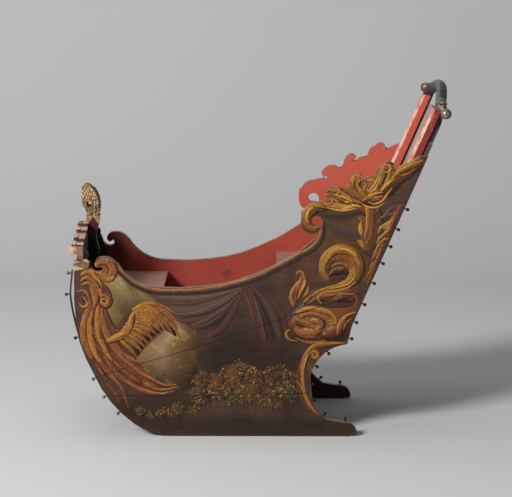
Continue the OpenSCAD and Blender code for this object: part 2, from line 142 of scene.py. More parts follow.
class Tree:
    def __init__(self, tree):
        self.tree = tree

    def add(self, kind, inputs=None, **settings):
        node = self.tree.nodes.new("ShaderNode" + kind)
        for key, value in settings.items():
            setattr(node, key, value)
        for key, value in (inputs or {}).items():
            if isinstance(value, bpy.types.NodeSocket):
                self.tree.links.new(value, node.inputs[key])
            else:
                node.inputs[key].default_value = value
        return node

    def calc(self, operation, a, b=0.0, c=0.0, clamp=False):
        node = self.add("Math", {0: a, 1: b, 2: c}, operation=operation)
        node.use_clamp = clamp
        return node.outputs[0]

    def fit(self, value, low, high, toLow=0.0, toHigh=1.0, smooth=False):
        kind = "SMOOTHSTEP" if smooth else "LINEAR"
        inputs = {0: value, 1: low, 2: high, 3: toLow, 4: toHigh}
        return self.add("MapRange", inputs, interpolation_type=kind).outputs[0]

    def mix(self, factor, a, b, blend="MIX"):
        node = self.add("Mix", data_type="RGBA", blend_type=blend)
        for key, value in ((0, factor), (6, a), (7, b)):
            if isinstance(value, bpy.types.NodeSocket):
                self.tree.links.new(value, node.inputs[key])
            else:
                node.inputs[key].default_value = hexColour(value) if isinstance(value, str) else value
        return node.outputs[2]

    def ramp(self, factor, stops):
        node = self.add("ValToRGB", {0: factor})
        band = node.color_ramp
        while len(band.elements) < len(stops):
            band.elements.new(0.5)
        for element, (place, colour) in zip(band.elements, stops):
            element.position = place
            element.color = hexColour(colour)
        return node.outputs[0]

    def noise(self, vector, scale, detail=3.0, rough=0.55, distortion=0.0):
        inputs = {"Vector": vector, "Scale": scale, "Detail": detail, "Roughness": rough,
                  "Distortion": distortion}
        return self.add("TexNoise", inputs).outputs[0]

    def stretch(self, vector, x, y, z):
        return self.add("Mapping", {"Vector": vector, "Scale": (x, y, z)}).outputs[0]

    def place(self):
        return self.add("TexCoord").outputs["Object"]

    def cells(self, vector, scale):
        inputs = {"Vector": vector, "Scale": scale}
        return self.add("TexVoronoi", inputs, feature="DISTANCE_TO_EDGE").outputs["Distance"]

    def split(self, vector):
        return self.add("SeparateXYZ", {0: vector}).outputs

    def normal(self):
        return self.split(self.add("NewGeometry").outputs["Normal"])

    def grey(self, value):
        return self.add("CombineXYZ", {0: value, 1: value, 2: value}).outputs[0]

    def times(self, a, b):
        return self.calc("MULTIPLY", a, b)

    def vector(self, operation, a, b=(0.0, 0.0, 0.0), output=0):
        return self.add("VectorMath", {0: a, 1: b}, operation=operation).outputs[output]

    def attribute(self, name, output="Fac"):
        return self.add("Attribute", attribute_name=name, attribute_type="GEOMETRY").outputs[output]

    def outward(self, facing, parts):      # 1 on faces turned away from the middle of the sled
        return self.times(facing[1], self.calc("SIGN", parts[1]))

    def group(self, made):
        node = self.tree.nodes.new("ShaderNodeGroup")
        node.node_tree = made
        return node.outputs

    def give(self, **values):
        output = self.tree.nodes.new("NodeGroupOutput")
        for key, value in values.items():
            self.tree.links.new(value, output.inputs[key])

    def finish(self, colour, rough, bump=None, bumpStrength=0.3, bumpDistance=0.001, **fixed):
        shader = self.add("BsdfPrincipled", {"Base Color": colour, "Roughness": rough})
        for key, value in fixed.items():
            shader.inputs[key].default_value = value
        if bump is not None:
            inputs = {"Height": bump, "Strength": bumpStrength, "Distance": bumpDistance}
            normal = self.add("Bump", inputs).outputs[0]
            self.tree.links.new(normal, shader.inputs["Normal"])
        output = self.add("OutputMaterial")
        self.tree.links.new(shader.outputs[0], output.inputs["Surface"])
        return shader


def newMaterial(name):
    material = bpy.data.materials.new(name)
    material.use_nodes = True
    material.node_tree.nodes.clear()
    return material, Tree(material.node_tree)


def newGroup(name, outputs):
    group = bpy.data.node_groups.new(name, "ShaderNodeTree")
    for key, kind in outputs:
        group.interface.new_socket(key, in_out="OUTPUT", socket_type="NodeSocket" + kind)
    return group, Tree(group)


# Ground paint of the sides: soft zones in the drawing's millimetres, then age

groundPaint = {
    "base": "#412e22",
    # x, z, half length, half height, turn, colour, strength
    "zones": [
        (-565, 430, 46, 210, -8, "#483028", 0.9),
        (-180, 430, 260, 90, -6, "#4e362e", 0.9),
        (-60, 385, 110, 70, 35, "#38251e", 0.85),
        (70, 430, 110, 110, 0, "#3d2921", 0.8),
        (-50, 250, 190, 110, 0, "#251812", 0.95),
        (60, 300, 90, 110, 0, "#331e18", 0.8),
        (-330, 80, 200, 80, 10, "#2d1e13", 0.9),
        (20, 30, 460, 46, 0, "#291c15", 0.9),
        (250, 640, 200, 80, 25, "#56391f", 0.9),
        (180, 560, 140, 70, 20, "#4c2f20", 0.8),
        (230, 350, 120, 90, 0, "#422619", 0.9),
        (475, 800, 80, 130, -20, "#47302a", 0.9),
        (110, 170, 70, 150, 0, "#291a13", 0.8),
    ],
    "zoneEdge": (0.35, 1.15),     # where a zone starts to fade and ends, in its half sizes
    "warp": 0.03,                 # metres by which noise bends the zones
    "net": "#1c1512", "netScale": 150, "speck": "#8a7a66",
    # bend x, bend z, slope before it, slope behind it
    "cracks": ((-184, 291, 0.307, 0.339), (-186, 133, 0.0066, 0.0226)),
    "crackEdge": (0.75, 1.5),     # millimetres from a crack's middle
    "crackColour": "#120d0a",
}
varnish = {"Specular IOR Level": 0.2}


def crackMask(t, place, setup):
    parts = t.split(place)
    x = t.times(t.calc("SUBTRACT", parts[0], drawShift), 1000)
    z = t.times(parts[2], 1000)
    masks = []
    for bendX, bendZ, front, rear in setup["cracks"]:
        along = t.calc("SUBTRACT", x, bendX)
        low = t.calc("MULTIPLY_ADD", along, front, bendZ)
        line = t.calc("MAXIMUM", low, t.calc("MULTIPLY_ADD", along, rear, bendZ))
        away = t.calc("ABSOLUTE", t.calc("SUBTRACT", z, line))
        masks.append(t.fit(away, *setup["crackEdge"], 1.0, 0.0, smooth=True))
    return t.calc("MAXIMUM", masks[0], masks[1])


def makeGroundGroup(setup):
    group, t = newGroup("sideGround", (("Colour", "Color"), ("Age", "Float"), ("Crack", "Float")))
    place = t.place()
    colour = setup["base"]
    warped = t.noise(place, 9, 2)
    flat = t.add("CombineXYZ", {0: warped, 2: warped}).outputs[0]
    drift = t.vector("MULTIPLY", flat, (setup["warp"], 0, setup["warp"]))
    moved = t.vector("ADD", place, drift)
    half = setup["warp"] / 2      # the drift's mean
    for x, z, halfX, halfZ, turn, tint, strength in setup["zones"]:
        inputs = {"Vector": moved,
                  "Location": (x / 1000 + drawShift + half, 0, z / 1000 + half),
                  "Rotation": (0, math.radians(-turn), 0),
                  "Scale": (halfX / 1000, 1e6, halfZ / 1000)}
        local = t.add("Mapping", inputs, vector_type="TEXTURE").outputs[0]
        away = t.vector("LENGTH", local, output="Value")
        mask = t.fit(away, *setup["zoneEdge"], strength, 0.0, smooth=True)
        colour = t.mix(mask, colour, tint)
    clouds = t.fit(t.noise(place, 22, 5, 0.65), 0.3, 0.7, 0.72, 1.3)
    streaks = t.fit(t.noise(t.stretch(place, 14, 14, 150), 1, 4, 0.6), 0.3, 0.7, 0.86, 1.14)
    grey = t.times(clouds, streaks)
    colour = t.mix(1.0, colour, t.grey(grey), "MULTIPLY")
    netMask = t.fit(t.noise(place, 14, 3), 0.46, 0.62)
    net = t.times(t.fit(t.cells(place, setup["netScale"]), 0.0, 0.05, 1.0, 0.0), netMask)
    colour = t.mix(t.times(net, 0.35), colour, setup["net"])
    specks = t.fit(t.noise(place, 420, 2, 0.5), 0.70, 0.76)
    colour = t.mix(t.times(specks, 0.35), colour, setup["speck"])
    t.give(Colour=colour, Age=net, Crack=crackMask(t, place, setup))
    return group


sideGround = makeGroundGroup(groundPaint)


# Red paint of the inside, shared by the planks and the smaller red pieces

redPaint = {
    "fresh": "#a8483a",
    "deep": "#953d31",
    "high": "#bd5746",
    "worn": "#b9745f",
    "dark": "#120d0b",
    "dirt": "#4a201a",
    "stain": (-0.104, 0.246, 0.434),      # middle of a dark spot on the far wall
    "stainEdge": (0.004, 0.024), "stainColour": "#4a1c16",
    "highAbove": (0.58, 0.74),            # z where the paint turns light
    "darkBelow": (0.13, 0.24), "darkBehind": (0.1, 0.14),     # z and x of the dark foot of the stern
}


def makeRedGroup(setup):
    group, t = newGroup("redPaint", (("Colour", "Color"), ("Height", "Float")))
    place = t.place()
    broad = t.fit(t.noise(place, 7, 4, 0.6), 0.32, 0.68)
    colour = t.mix(broad, setup["deep"], setup["fresh"])
    parts = t.split(place)
    colour = t.mix(t.fit(parts[2], *setup["highAbove"], 0.0, 0.9), colour, setup["high"])
    rub = t.noise(t.stretch(place, 26, 26, 160), 1, 5, 0.65)
    colour = t.mix(t.fit(rub, 0.64, 0.76, 0.0, 0.3), colour, setup["worn"])
    scratch = t.noise(t.stretch(place, 90, 90, 12), 1, 3, 0.6)
    colour = t.mix(t.fit(scratch, 0.66, 0.72, 0.0, 0.35), colour, setup["dirt"])
    grain = t.noise(t.stretch(place, 40, 40, 600), 1, 3, 0.6)
    grime = t.fit(t.noise(place, 60, 4, 0.7), 0.58, 0.8, 0.0, 0.45)
    colour = t.mix(grime, colour, setup["dirt"])
    away = t.vector("DISTANCE", place, setup["stain"], "Value")
    ragged = t.calc("ADD", away, t.fit(t.noise(place, 90, 3), 0.0, 1.0, -0.008, 0.008))
    stain = t.fit(ragged, *setup["stainEdge"], 0.45, 0.0, smooth=True)
    colour = t.mix(stain, colour, setup["stainColour"])
    foot = t.times(t.fit(parts[2], *setup["darkBelow"], 0.97, 0.0),
                   t.fit(parts[0], *setup["darkBehind"]))
    t.give(Colour=t.mix(foot, colour, setup["dark"]), Height=grain)
    return group


redGroup = makeRedGroup(redPaint)


# Side planks: painted outside, red inside, pale worn wood along the cut edges that face up, where the
# pallor is also painted light; the other cut edges are dark with painted shade

plankPaint = {
    "rim": "#96705a", "rimWorn": "#7d5947",
    "edge": "#40302a",
    "bowShade": "#1f100e",
    "bowTip": (-0.465, -0.425), "bowRear": (-0.43, -0.22),    # x between which the shade changes
}


def makePlankMaterial(setup):
    material, t = newMaterial("paintedPlank")
    ground = t.group(sideGround)
    red = t.group(redGroup)
    place = t.place()
    parts = t.split(place)
    facing = t.normal()
    outward = t.outward(facing, parts)
    isOuter = t.fit(outward, 0.4, 0.6)
    isInner = t.fit(outward, -0.6, -0.4, 1.0, 0.0)
    upward = t.fit(facing[2], 0.2, 0.5)
    wear = t.fit(t.noise(place, 60, 4, 0.7), 0.35, 0.65)
    rim = t.mix(wear, setup["rim"], setup["rimWorn"])
    # cut edges turned up get the pale worn wood as painted light, the others painted shade
    edge = t.mix(upward, setup["edge"], rim)
    # painted shade on the inside towards the bow, where the crest shadows it
    bowFade = t.times(t.fit(parts[0], *setup["bowTip"], 1.0, 0.5),
                      t.fit(parts[0], *setup["bowRear"], 0.82, 0.0))
    inside = t.mix(bowFade, red["Colour"], setup["bowShade"])
    colour = t.mix(isInner, edge, inside)
    colour = t.mix(isOuter, colour, ground["Colour"])
    crack = t.times(ground["Crack"], isOuter)
    colour = t.mix(crack, colour, groundPaint["crackColour"])
    rough = t.fit(t.noise(place, 30, 3), 0.3, 0.7, 0.42, 0.62)
    height = t.calc("SUBTRACT", t.noise(t.stretch(place, 30, 30, 300), 1, 4, 0.6),
                    t.times(ground["Age"], 0.8))
    t.finish(colour, rough, height, 0.25, 0.0006, **varnish)
    return material


def makeRedMaterial():
    material, t = newMaterial("redWood")
    red = t.group(redGroup)
    place = t.place()
    rough = t.fit(t.noise(place, 40, 3), 0.3, 0.7, 0.45, 0.65)
    t.finish(red["Colour"], rough, red["Height"], 0.25, 0.0006, **varnish)
    return material


# Stiles: red sides, worn pink front bevel, rear bevel darkened as painted shade

stilePaint = {"bevel": "#d3b0a1", "bevelWorn": "#b5604d", "bare": "#b98a78", "outer": "#7a2c28",
              "rear": "#2c1814"}


def makeStileMaterial(setup):
    material, t = newMaterial("stilePaint")
    red = t.group(redGroup)
    place = t.place()
    facing = t.normal()
    outward = t.outward(facing, t.split(place))
    wear = t.noise(t.stretch(place, 70, 70, 14), 1, 5, 0.7)
    bevel = t.mix(t.fit(wear, 0.42, 0.60), setup["bevel"], setup["bevelWorn"])
    colour = t.mix(t.fit(outward, 0.3, 0.7, 0.0, 0.9), red["Colour"], setup["outer"])
    colour = t.mix(t.fit(wear, 0.60, 0.66, 0.0, 0.8), colour, setup["bare"])
    colour = t.mix(t.fit(facing[0], -0.5, -0.3, 1.0, 0.0), colour, bevel)
    # faces turned to the stern get painted shade
    colour = t.mix(t.fit(facing[0], 0.35, 0.6, 0.0, 0.9), colour, setup["rear"])
    t.finish(colour, t.fit(wear, 0.3, 0.7, 0.45, 0.65), wear, 0.3, 0.0005, **varnish)
    return material


# Crest at the bow: almost black, from dark paint and painted shade, with rubbed dark red painted lit along
# the upper parts turned to the near side

crestPaint = {
    "darkPaintAndShade": "#140d0c", "red": "#5c231f", "rub": "#8a4a3c",
    "litAbove": (0.585, 0.68),        # z where the red comes up
    "band": "#b0917c", "grooveShade": "#3a231d", "bandPitch": 0.0125, "bandsAbove": (0.604, 0.610),
    "boardFoot": "#7d5c50", "rollFoot": "#bb9d78",            # colours below the bands
    "gilt": "#b0915f", "giltWorn": "#8c6249", "giltDepth": (0.006, -0.001),
}


def crestBands(t, height, rub, below, setup):
    wave = t.calc("SINE", t.times(height, 2 * math.pi / setup["bandPitch"]))
    wave = t.calc("ADD", wave, t.fit(rub, 0.3, 0.7, -0.5, 0.5))
    # dark grooves between the bands are painted shade
    bands = t.mix(t.fit(wave, -0.45, 0.25), setup["grooveShade"], setup["band"])
    return t.mix(t.fit(height, *setup["bandsAbove"]), below, bands)


def makeCrestMaterial(name, setup, kind="plain"):
    material, t = newMaterial(name)
    place = t.place()
    facing = t.normal()
    parts = t.split(place)
    rub = t.noise(t.stretch(place, 60, 60, 22), 1, 5, 0.7)
    # painted light: red on the upper faces turned to the near side; lower down and elsewhere painted shade
    # leaves it black
    lit = t.times(t.fit(parts[2], *setup["litAbove"]), t.fit(facing[1], -0.9, -0.3, 1.0, 0.25))
    colour = t.mix(lit, setup["darkPaintAndShade"], setup["red"])
    colour = t.mix(t.times(t.fit(rub, 0.58, 0.70), lit), colour, setup["rub"])
    if kind == "board":       # bands on the edge only
        onEdge = t.fit(t.calc("ABSOLUTE", facing[0]), 0.5, 0.7, 0.95, 0.0)
        colour = t.mix(onEdge, colour, crestBands(t, parts[2], rub, setup["boardFoot"], setup))
    if kind == "roll":
        colour = crestBands(t, parts[2], rub, setup["rollFoot"], setup)
    if kind == "post":        # gilding on the top, lower towards the middle
        low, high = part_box("crest_post")
        aside = t.calc("ABSOLUTE", t.calc("SUBTRACT", parts[0], (low.x + high.x) / 2))
        deep, over = setup["giltDepth"]
        gilt = t.fit(t.calc("MULTIPLY_ADD", aside, 1.6, parts[2]), high.z - deep, high.z - over)
        patchy = t.mix(t.fit(rub, 0.4, 0.6), setup["gilt"], setup["giltWorn"])
        colour = t.mix(gilt, colour, patchy)
    t.finish(colour, t.fit(rub, 0.3, 0.7, 0.4, 0.6), rub, 0.3, 0.0005, **varnish)
    return material


woodPaint = {
    "pinkWood": {"main": "#8f6054", "light": "#a27160", "dark": "#633f35", "rough": 0.55,
                 "grain": (24, 380, 24), "shade": None},
    "plainWood": {"main": "#5c4736", "light": "#6f5743", "dark": "#3a2b20", "rough": 0.7,
                  "grain": (24, 380, 380), "shade": None},
    "panelWood": {"main": "#8d776a", "light": "#bba99b", "dark": "#2b1e19", "rough": 0.6,
                  "grain": (160, 260, 14), "shade": "#33201b"},      # shade of its sides and back
}


def makeWoodMaterial(name):
    setup = woodPaint[name]
    material, t = newMaterial(name)
    place = t.place()
    broad = t.fit(t.noise(place, 12, 4, 0.6), 0.3, 0.7)
    colour = t.mix(broad, setup["main"], setup["light"])
    grain = t.noise(t.stretch(place, *setup["grain"]), 1, 5, 0.65)
    colour = t.mix(t.fit(grain, 0.54, 0.68, 0.0, 0.75), colour, setup["dark"])
    spots = t.fit(t.noise(place, 90, 3, 0.6), 0.66, 0.76, 0.0, 0.5)
    colour = t.mix(spots, colour, setup["dark"])
    rough = t.fit(grain, 0.3, 0.7, setup["rough"] - 0.08, setup["rough"] + 0.08)
    # painted shade on the panel's sides and back
    if setup["shade"]:
        facing = t.normal()
        aside = t.fit(t.calc("ABSOLUTE", facing[1]), 0.4, 0.7)
        turned = t.calc("MAXIMUM", aside, t.fit(facing[0], 0.2, 0.5))
        colour = t.mix(t.times(turned, 0.9), colour, setup["shade"])
    t.finish(colour, rough, grain, 0.3, 0.0006)
    return material


metals = {
    "darkIron": {"clean": "#2e2b29", "dirty": "#4a3a30", "metallic": 0.7, "rough": 0.45, "scale": 60,
                 "stern": 0.0},
    "oldBrass": {"clean": "#8f7c5e", "dirty": "#1c1612", "metallic": 0.85, "rough": 0.35, "scale": 90,
                 "stern": 0.9},       # how much darker it gets towards the stern
    "wornPlating": {"clean": "#b09a82", "dirty": "#4a3629", "metallic": 0.8, "rough": 0.3, "scale": 55,
                    "stern": 0.0},
}
handleSleeve = {
    # the far sleeve's darker leather is painted shade
    "near": "#5a5751", "far": "#201c1c",
    "reach": (0.247, 0.256),      # from the middle, where the sleeve's leather gives way to metal
}


def metalSurface(t, place, setup):
    patches = t.fit(t.noise(place, setup["scale"], 5, 0.7), 0.38, 0.64)
    # darker towards the stern
    if setup["stern"]:
        behind = t.fit(t.split(place)[0], -0.1, 0.15, 0.0, setup["stern"])
        patches = t.calc("MAXIMUM", patches, behind)
    rough = t.fit(patches, 0.0, 1.0, setup["rough"], setup["rough"] + 0.25)
    grain = t.noise(place, setup["scale"] * 9, 3)
    return t.mix(patches, setup["clean"], setup["dirty"]), rough, grain


def makeMetalMaterial(name):
    setup = metals[name]
    material, t = newMaterial(name)
    t.finish(*metalSurface(t, t.place(), setup), 0.2, 0.0004, Metallic=setup["metallic"])
    return material


def makeHandleEndMaterial(setup):
    material, t = newMaterial("platedEnd")
    place = t.place()
    metal, rough, grain = metalSurface(t, place, metals["wornPlating"])
    across = t.split(place)[1]
    sleeve = t.fit(t.calc("ABSOLUTE", across), *setup["reach"], 1.0, 0.0)
    # painted shade: the far sleeve darker than the near
    leather = t.mix(t.fit(across, -0.1, 0.1), setup["near"], setup["far"])
    shader = t.finish(t.mix(sleeve, metal, leather), rough, grain, 0.2, 0.0004)
    plated = metals["wornPlating"]["metallic"]
    t.tree.links.new(t.calc("MULTIPLY_ADD", sleeve, -plated, plated), shader.inputs["Metallic"])
    return material


# low, recess and hollow set painted shade in the carving's hollows and on faces turned to the stern
gildPaint = {"high": "#d0b183", "mid": "#9c7847", "low": "#33221a", "recess": "#5a3d28",
             "bole": "#6b4436", "hollow": 0.012, "metallic": 0.25}


def makeGildingMaterial(setup):
    material, t = newMaterial("wornGilding")
    place = t.place()
    # painted shade in the hollows and grooves and on faces turned to the stern
    hollow = t.add("AmbientOcclusion", {"Distance": setup["hollow"]}).outputs["AO"]
    worn = t.fit(t.noise(place, 120, 4, 0.7), 0.35, 0.7)
    colour = t.mix(worn, setup["high"], setup["mid"])
    colour = t.mix(t.fit(hollow, 0.45, 0.95, 0.9, 0.0), colour, setup["low"])
    colour = t.mix(t.fit(t.attribute("recess"), 0.15, 0.75, 0.0, 0.85), colour, setup["recess"])
    facing = t.normal()
    colour = t.mix(t.fit(facing[0], 0.1, 0.7, 0.0, 0.85), colour, setup["low"])
    patches = t.fit(t.noise(place, 55, 3, 0.6), 0.62, 0.72, 0.0, 0.7)
    colour = t.mix(patches, colour, setup["bole"])
    t.finish(colour, t.fit(worn, 0.0, 1.0, 0.38, 0.6), t.noise(place, 500, 3), 0.3, 0.0005,
             Metallic=setup["metallic"])
    return material


leatherPaint = {
    "worn": "#74726d", "base": "#2f2a26", "dark": "#15110e", "creaseScale": 380,
    "near": (-0.02, -0.09), "far": (0.10, 0.16),      # y between which the grip darkens
}


def makeLeatherMaterial(setup):
    material, t = newMaterial("greyLeather")
    place = t.place()
    rub = t.fit(t.noise(place, 40, 4, 0.65), 0.35, 0.68)
    # lighter where it faces up: wear, and painted light from above
    upward = t.fit(t.normal()[2], 0.1, 0.95)
    colour = t.mix(t.times(t.calc("MULTIPLY_ADD", rub, 0.4, 0.6), upward),
                   setup["base"], setup["worn"])
    across = t.split(place)[1]
    # the near part darkens only on faces not turned to the front: painted shade
    notFront = t.fit(t.normal()[0], -0.55, -0.15)
    grip = t.times(t.fit(across, *setup["near"], 0.0, 0.92), notFront)
    grip = t.calc("MAXIMUM", grip, t.fit(across, *setup["far"], 0.0, 0.92))
    colour = t.mix(grip, colour, setup["dark"])
    net = t.fit(t.cells(place, setup["creaseScale"]), 0.0, 0.12, 1.0, 0.0)
    colour = t.mix(t.times(net, 0.5), colour, setup["dark"])
    t.finish(colour, t.fit(rub, 0.0, 1.0, 0.62, 0.45), t.calc("SUBTRACT", 1.0, net), 0.35, 0.0006)
    return material


materials = {
    "painted_plank": makePlankMaterial(plankPaint),
    "red_wood": makeRedMaterial(),
    "pink_wood": makeWoodMaterial("pinkWood"),
    "plain_wood": makeWoodMaterial("plainWood"),
    "panel_wood": makeWoodMaterial("panelWood"),
    "gilding": makeGildingMaterial(gildPaint),
    "iron": makeMetalMaterial("darkIron"),
    "brass": makeMetalMaterial("oldBrass"),
    "leather": makeLeatherMaterial(leatherPaint),
}
stileMaterial = makeStileMaterial(stilePaint)
crestMaterial = makeCrestMaterial("crestPaint", crestPaint)
rollMaterial = makeCrestMaterial("rollBands", crestPaint, "roll")
handleMetal = makeMetalMaterial("wornPlating")
handleEndMaterial = makeHandleEndMaterial(handleSleeve)
ownMaterials = {
    "near_handle_end": handleEndMaterial, "far_handle_end": handleEndMaterial,
    "near_stile": stileMaterial, "far_stile": stileMaterial,
    "crest_board": makeCrestMaterial("crestBands", crestPaint, "board"),
    "crest_post": makeCrestMaterial("postGilt", crestPaint, "post"),
    # knees and bulkhead take the crest paint, black with painted shade below the lit height
    "crest_knees": crestMaterial, "bulkhead": crestMaterial,
}
for part in frame["record"]["subparts"]:
    mesh = nodes[part["node"]].data
    mesh.materials.clear()
    mesh.materials.append(ownMaterials.get(part["node"], materials[part["material_slot"]]))
backdropMaterial, backdropTree = newMaterial("paperBackdrop")
backdropTree.finish(hexColour(backdropSetup["colour"]), 0.9)
backdrop.data.materials.append(backdropMaterial)
print("materials made:", len(materials))

# Brush strokes: thin ribbons of paint on both outer faces, trimmed to the planks' outline

inks = {
    "cream": "#b8935a", "lightGold": "#bf8836", "gold": "#a06a2a", "ochre": "#845526",
    "copper": "#8c5330", "russet": "#6b3a24", "umber": "#36231a", "pink": "#a8664a",
    "wine": "#5a302b", "plum": "#57423a", "plumLight": "#6a5449", "dusk": "#2f2420",
    "leaf": "#55502b", "moss": "#6b5f33", "blossom": "#8a3d2c", "border": "#83583e", "line": "#85705a",
}
brushSetup = {
    "step": 4.0,          # millimetres between stations
    "columns": (-1.0, -0.8, -0.45, 0.0, 0.45, 0.8, 1.0),
    "thinColumns": (-1.0, 0.0, 1.0),
    "thinWidth": 7.0,
    "crown": 0.012,       # height of a feather for each millimetre of width
    "crownMost": 0.25,
    "layer": 0.0028,      # each stroke lies this much over the last, in millimetres
    "skirt": -0.05,       # height of a ribbon's outer edge
    "trimmed": 0.2,       # most height along the planks' outline
    "light": (-0.62, 0.78),
}


def addLayer(mesh, name, values):
    layer = mesh.attributes.new(name, "FLOAT", "POINT")
    layer.data.foreach_set("value", values.astype(np.float32))


def faceOutline(nodeNames):
    loops = []
    for name in nodeNames:
        mesh = nodes[name].data
        edges = {}
        for polygon in mesh.polygons:
            if polygon.normal.y > -0.9 or abs(polygon.center.y + outerY) > 1e-4:
                continue
            places = [mesh.vertices[v].co for v in polygon.vertices]
            corners = [(round(p.x * 1000, 3), round(p.z * 1000, 3)) for p in places]
            for a, b in zip(corners, corners[1:] + corners[:1]):
                if (b, a) in edges:
                    del edges[(b, a)]
                else:
                    edges[(a, b)] = True
        loops.append(np.array([a + b for a, b in edges]))
    return loops


def insideAny(points, loops):
    inside = np.zeros(len(points), bool)
    x, z = points[:, 0:1], points[:, 1:2]
    for edges in loops:
        ax, az, bx, bz = (edges[:, i][None, :] for i in range(4))
        spans = (az > z) != (bz > z)
        rise = np.where(bz == az, 1e-9, bz - az)
        crossed = spans & (x < ax + (z - az) * (bx - ax) / rise)
        inside |= crossed.sum(1) % 2 == 1
    return inside


def nearestOnEdges(points, loops):
    edges = np.concatenate(loops)
    a, b = edges[:, :2], edges[:, 2:]
    run = b - a
    size = np.maximum((run * run).sum(1), 1e-9)
    best = np.zeros_like(points)
    for i, p in enumerate(points):
        t = np.clip(((p - a) * run).sum(1) / size, 0, 1)
        q = a + run * t[:, None]
        best[i] = q[((q - p) ** 2).sum(1).argmin()]
    return best


plankLoops = faceOutline(["near_lower_plank", "near_middle_plank", "near_upper_plank"])


def smoothPath(points, step):
    p = np.array(points, float)
    p = np.vstack([2 * p[0] - p[1], p, 2 * p[-1] - p[-2]])
    made = []
    for i in range(1, len(p) - 2):
        a, b, c, d = p[i - 1:i + 3]
        n = max(2, int(np.linalg.norm(c - b) / step))
        for t in np.arange(n) / n:
            made.append(0.5 * (2 * b + (c - a) * t + (2 * a - 5 * b + 4 * c - d) * t ** 2
                               + (3 * b - a - 3 * c + d) * t ** 3))
    made.append(p[-2])
    return np.array(made)


def curl(centre, start, end, fromAngle, toAngle, count=12):
    made = []
    for i in range(count + 1):
        t = i / count
        angle = math.radians(fromAngle + (toAngle - fromAngle) * t)
        r = start + (end - start) * t
        made.append((centre[0] + r * math.cos(angle), centre[1] + r * math.sin(angle)))
    return made


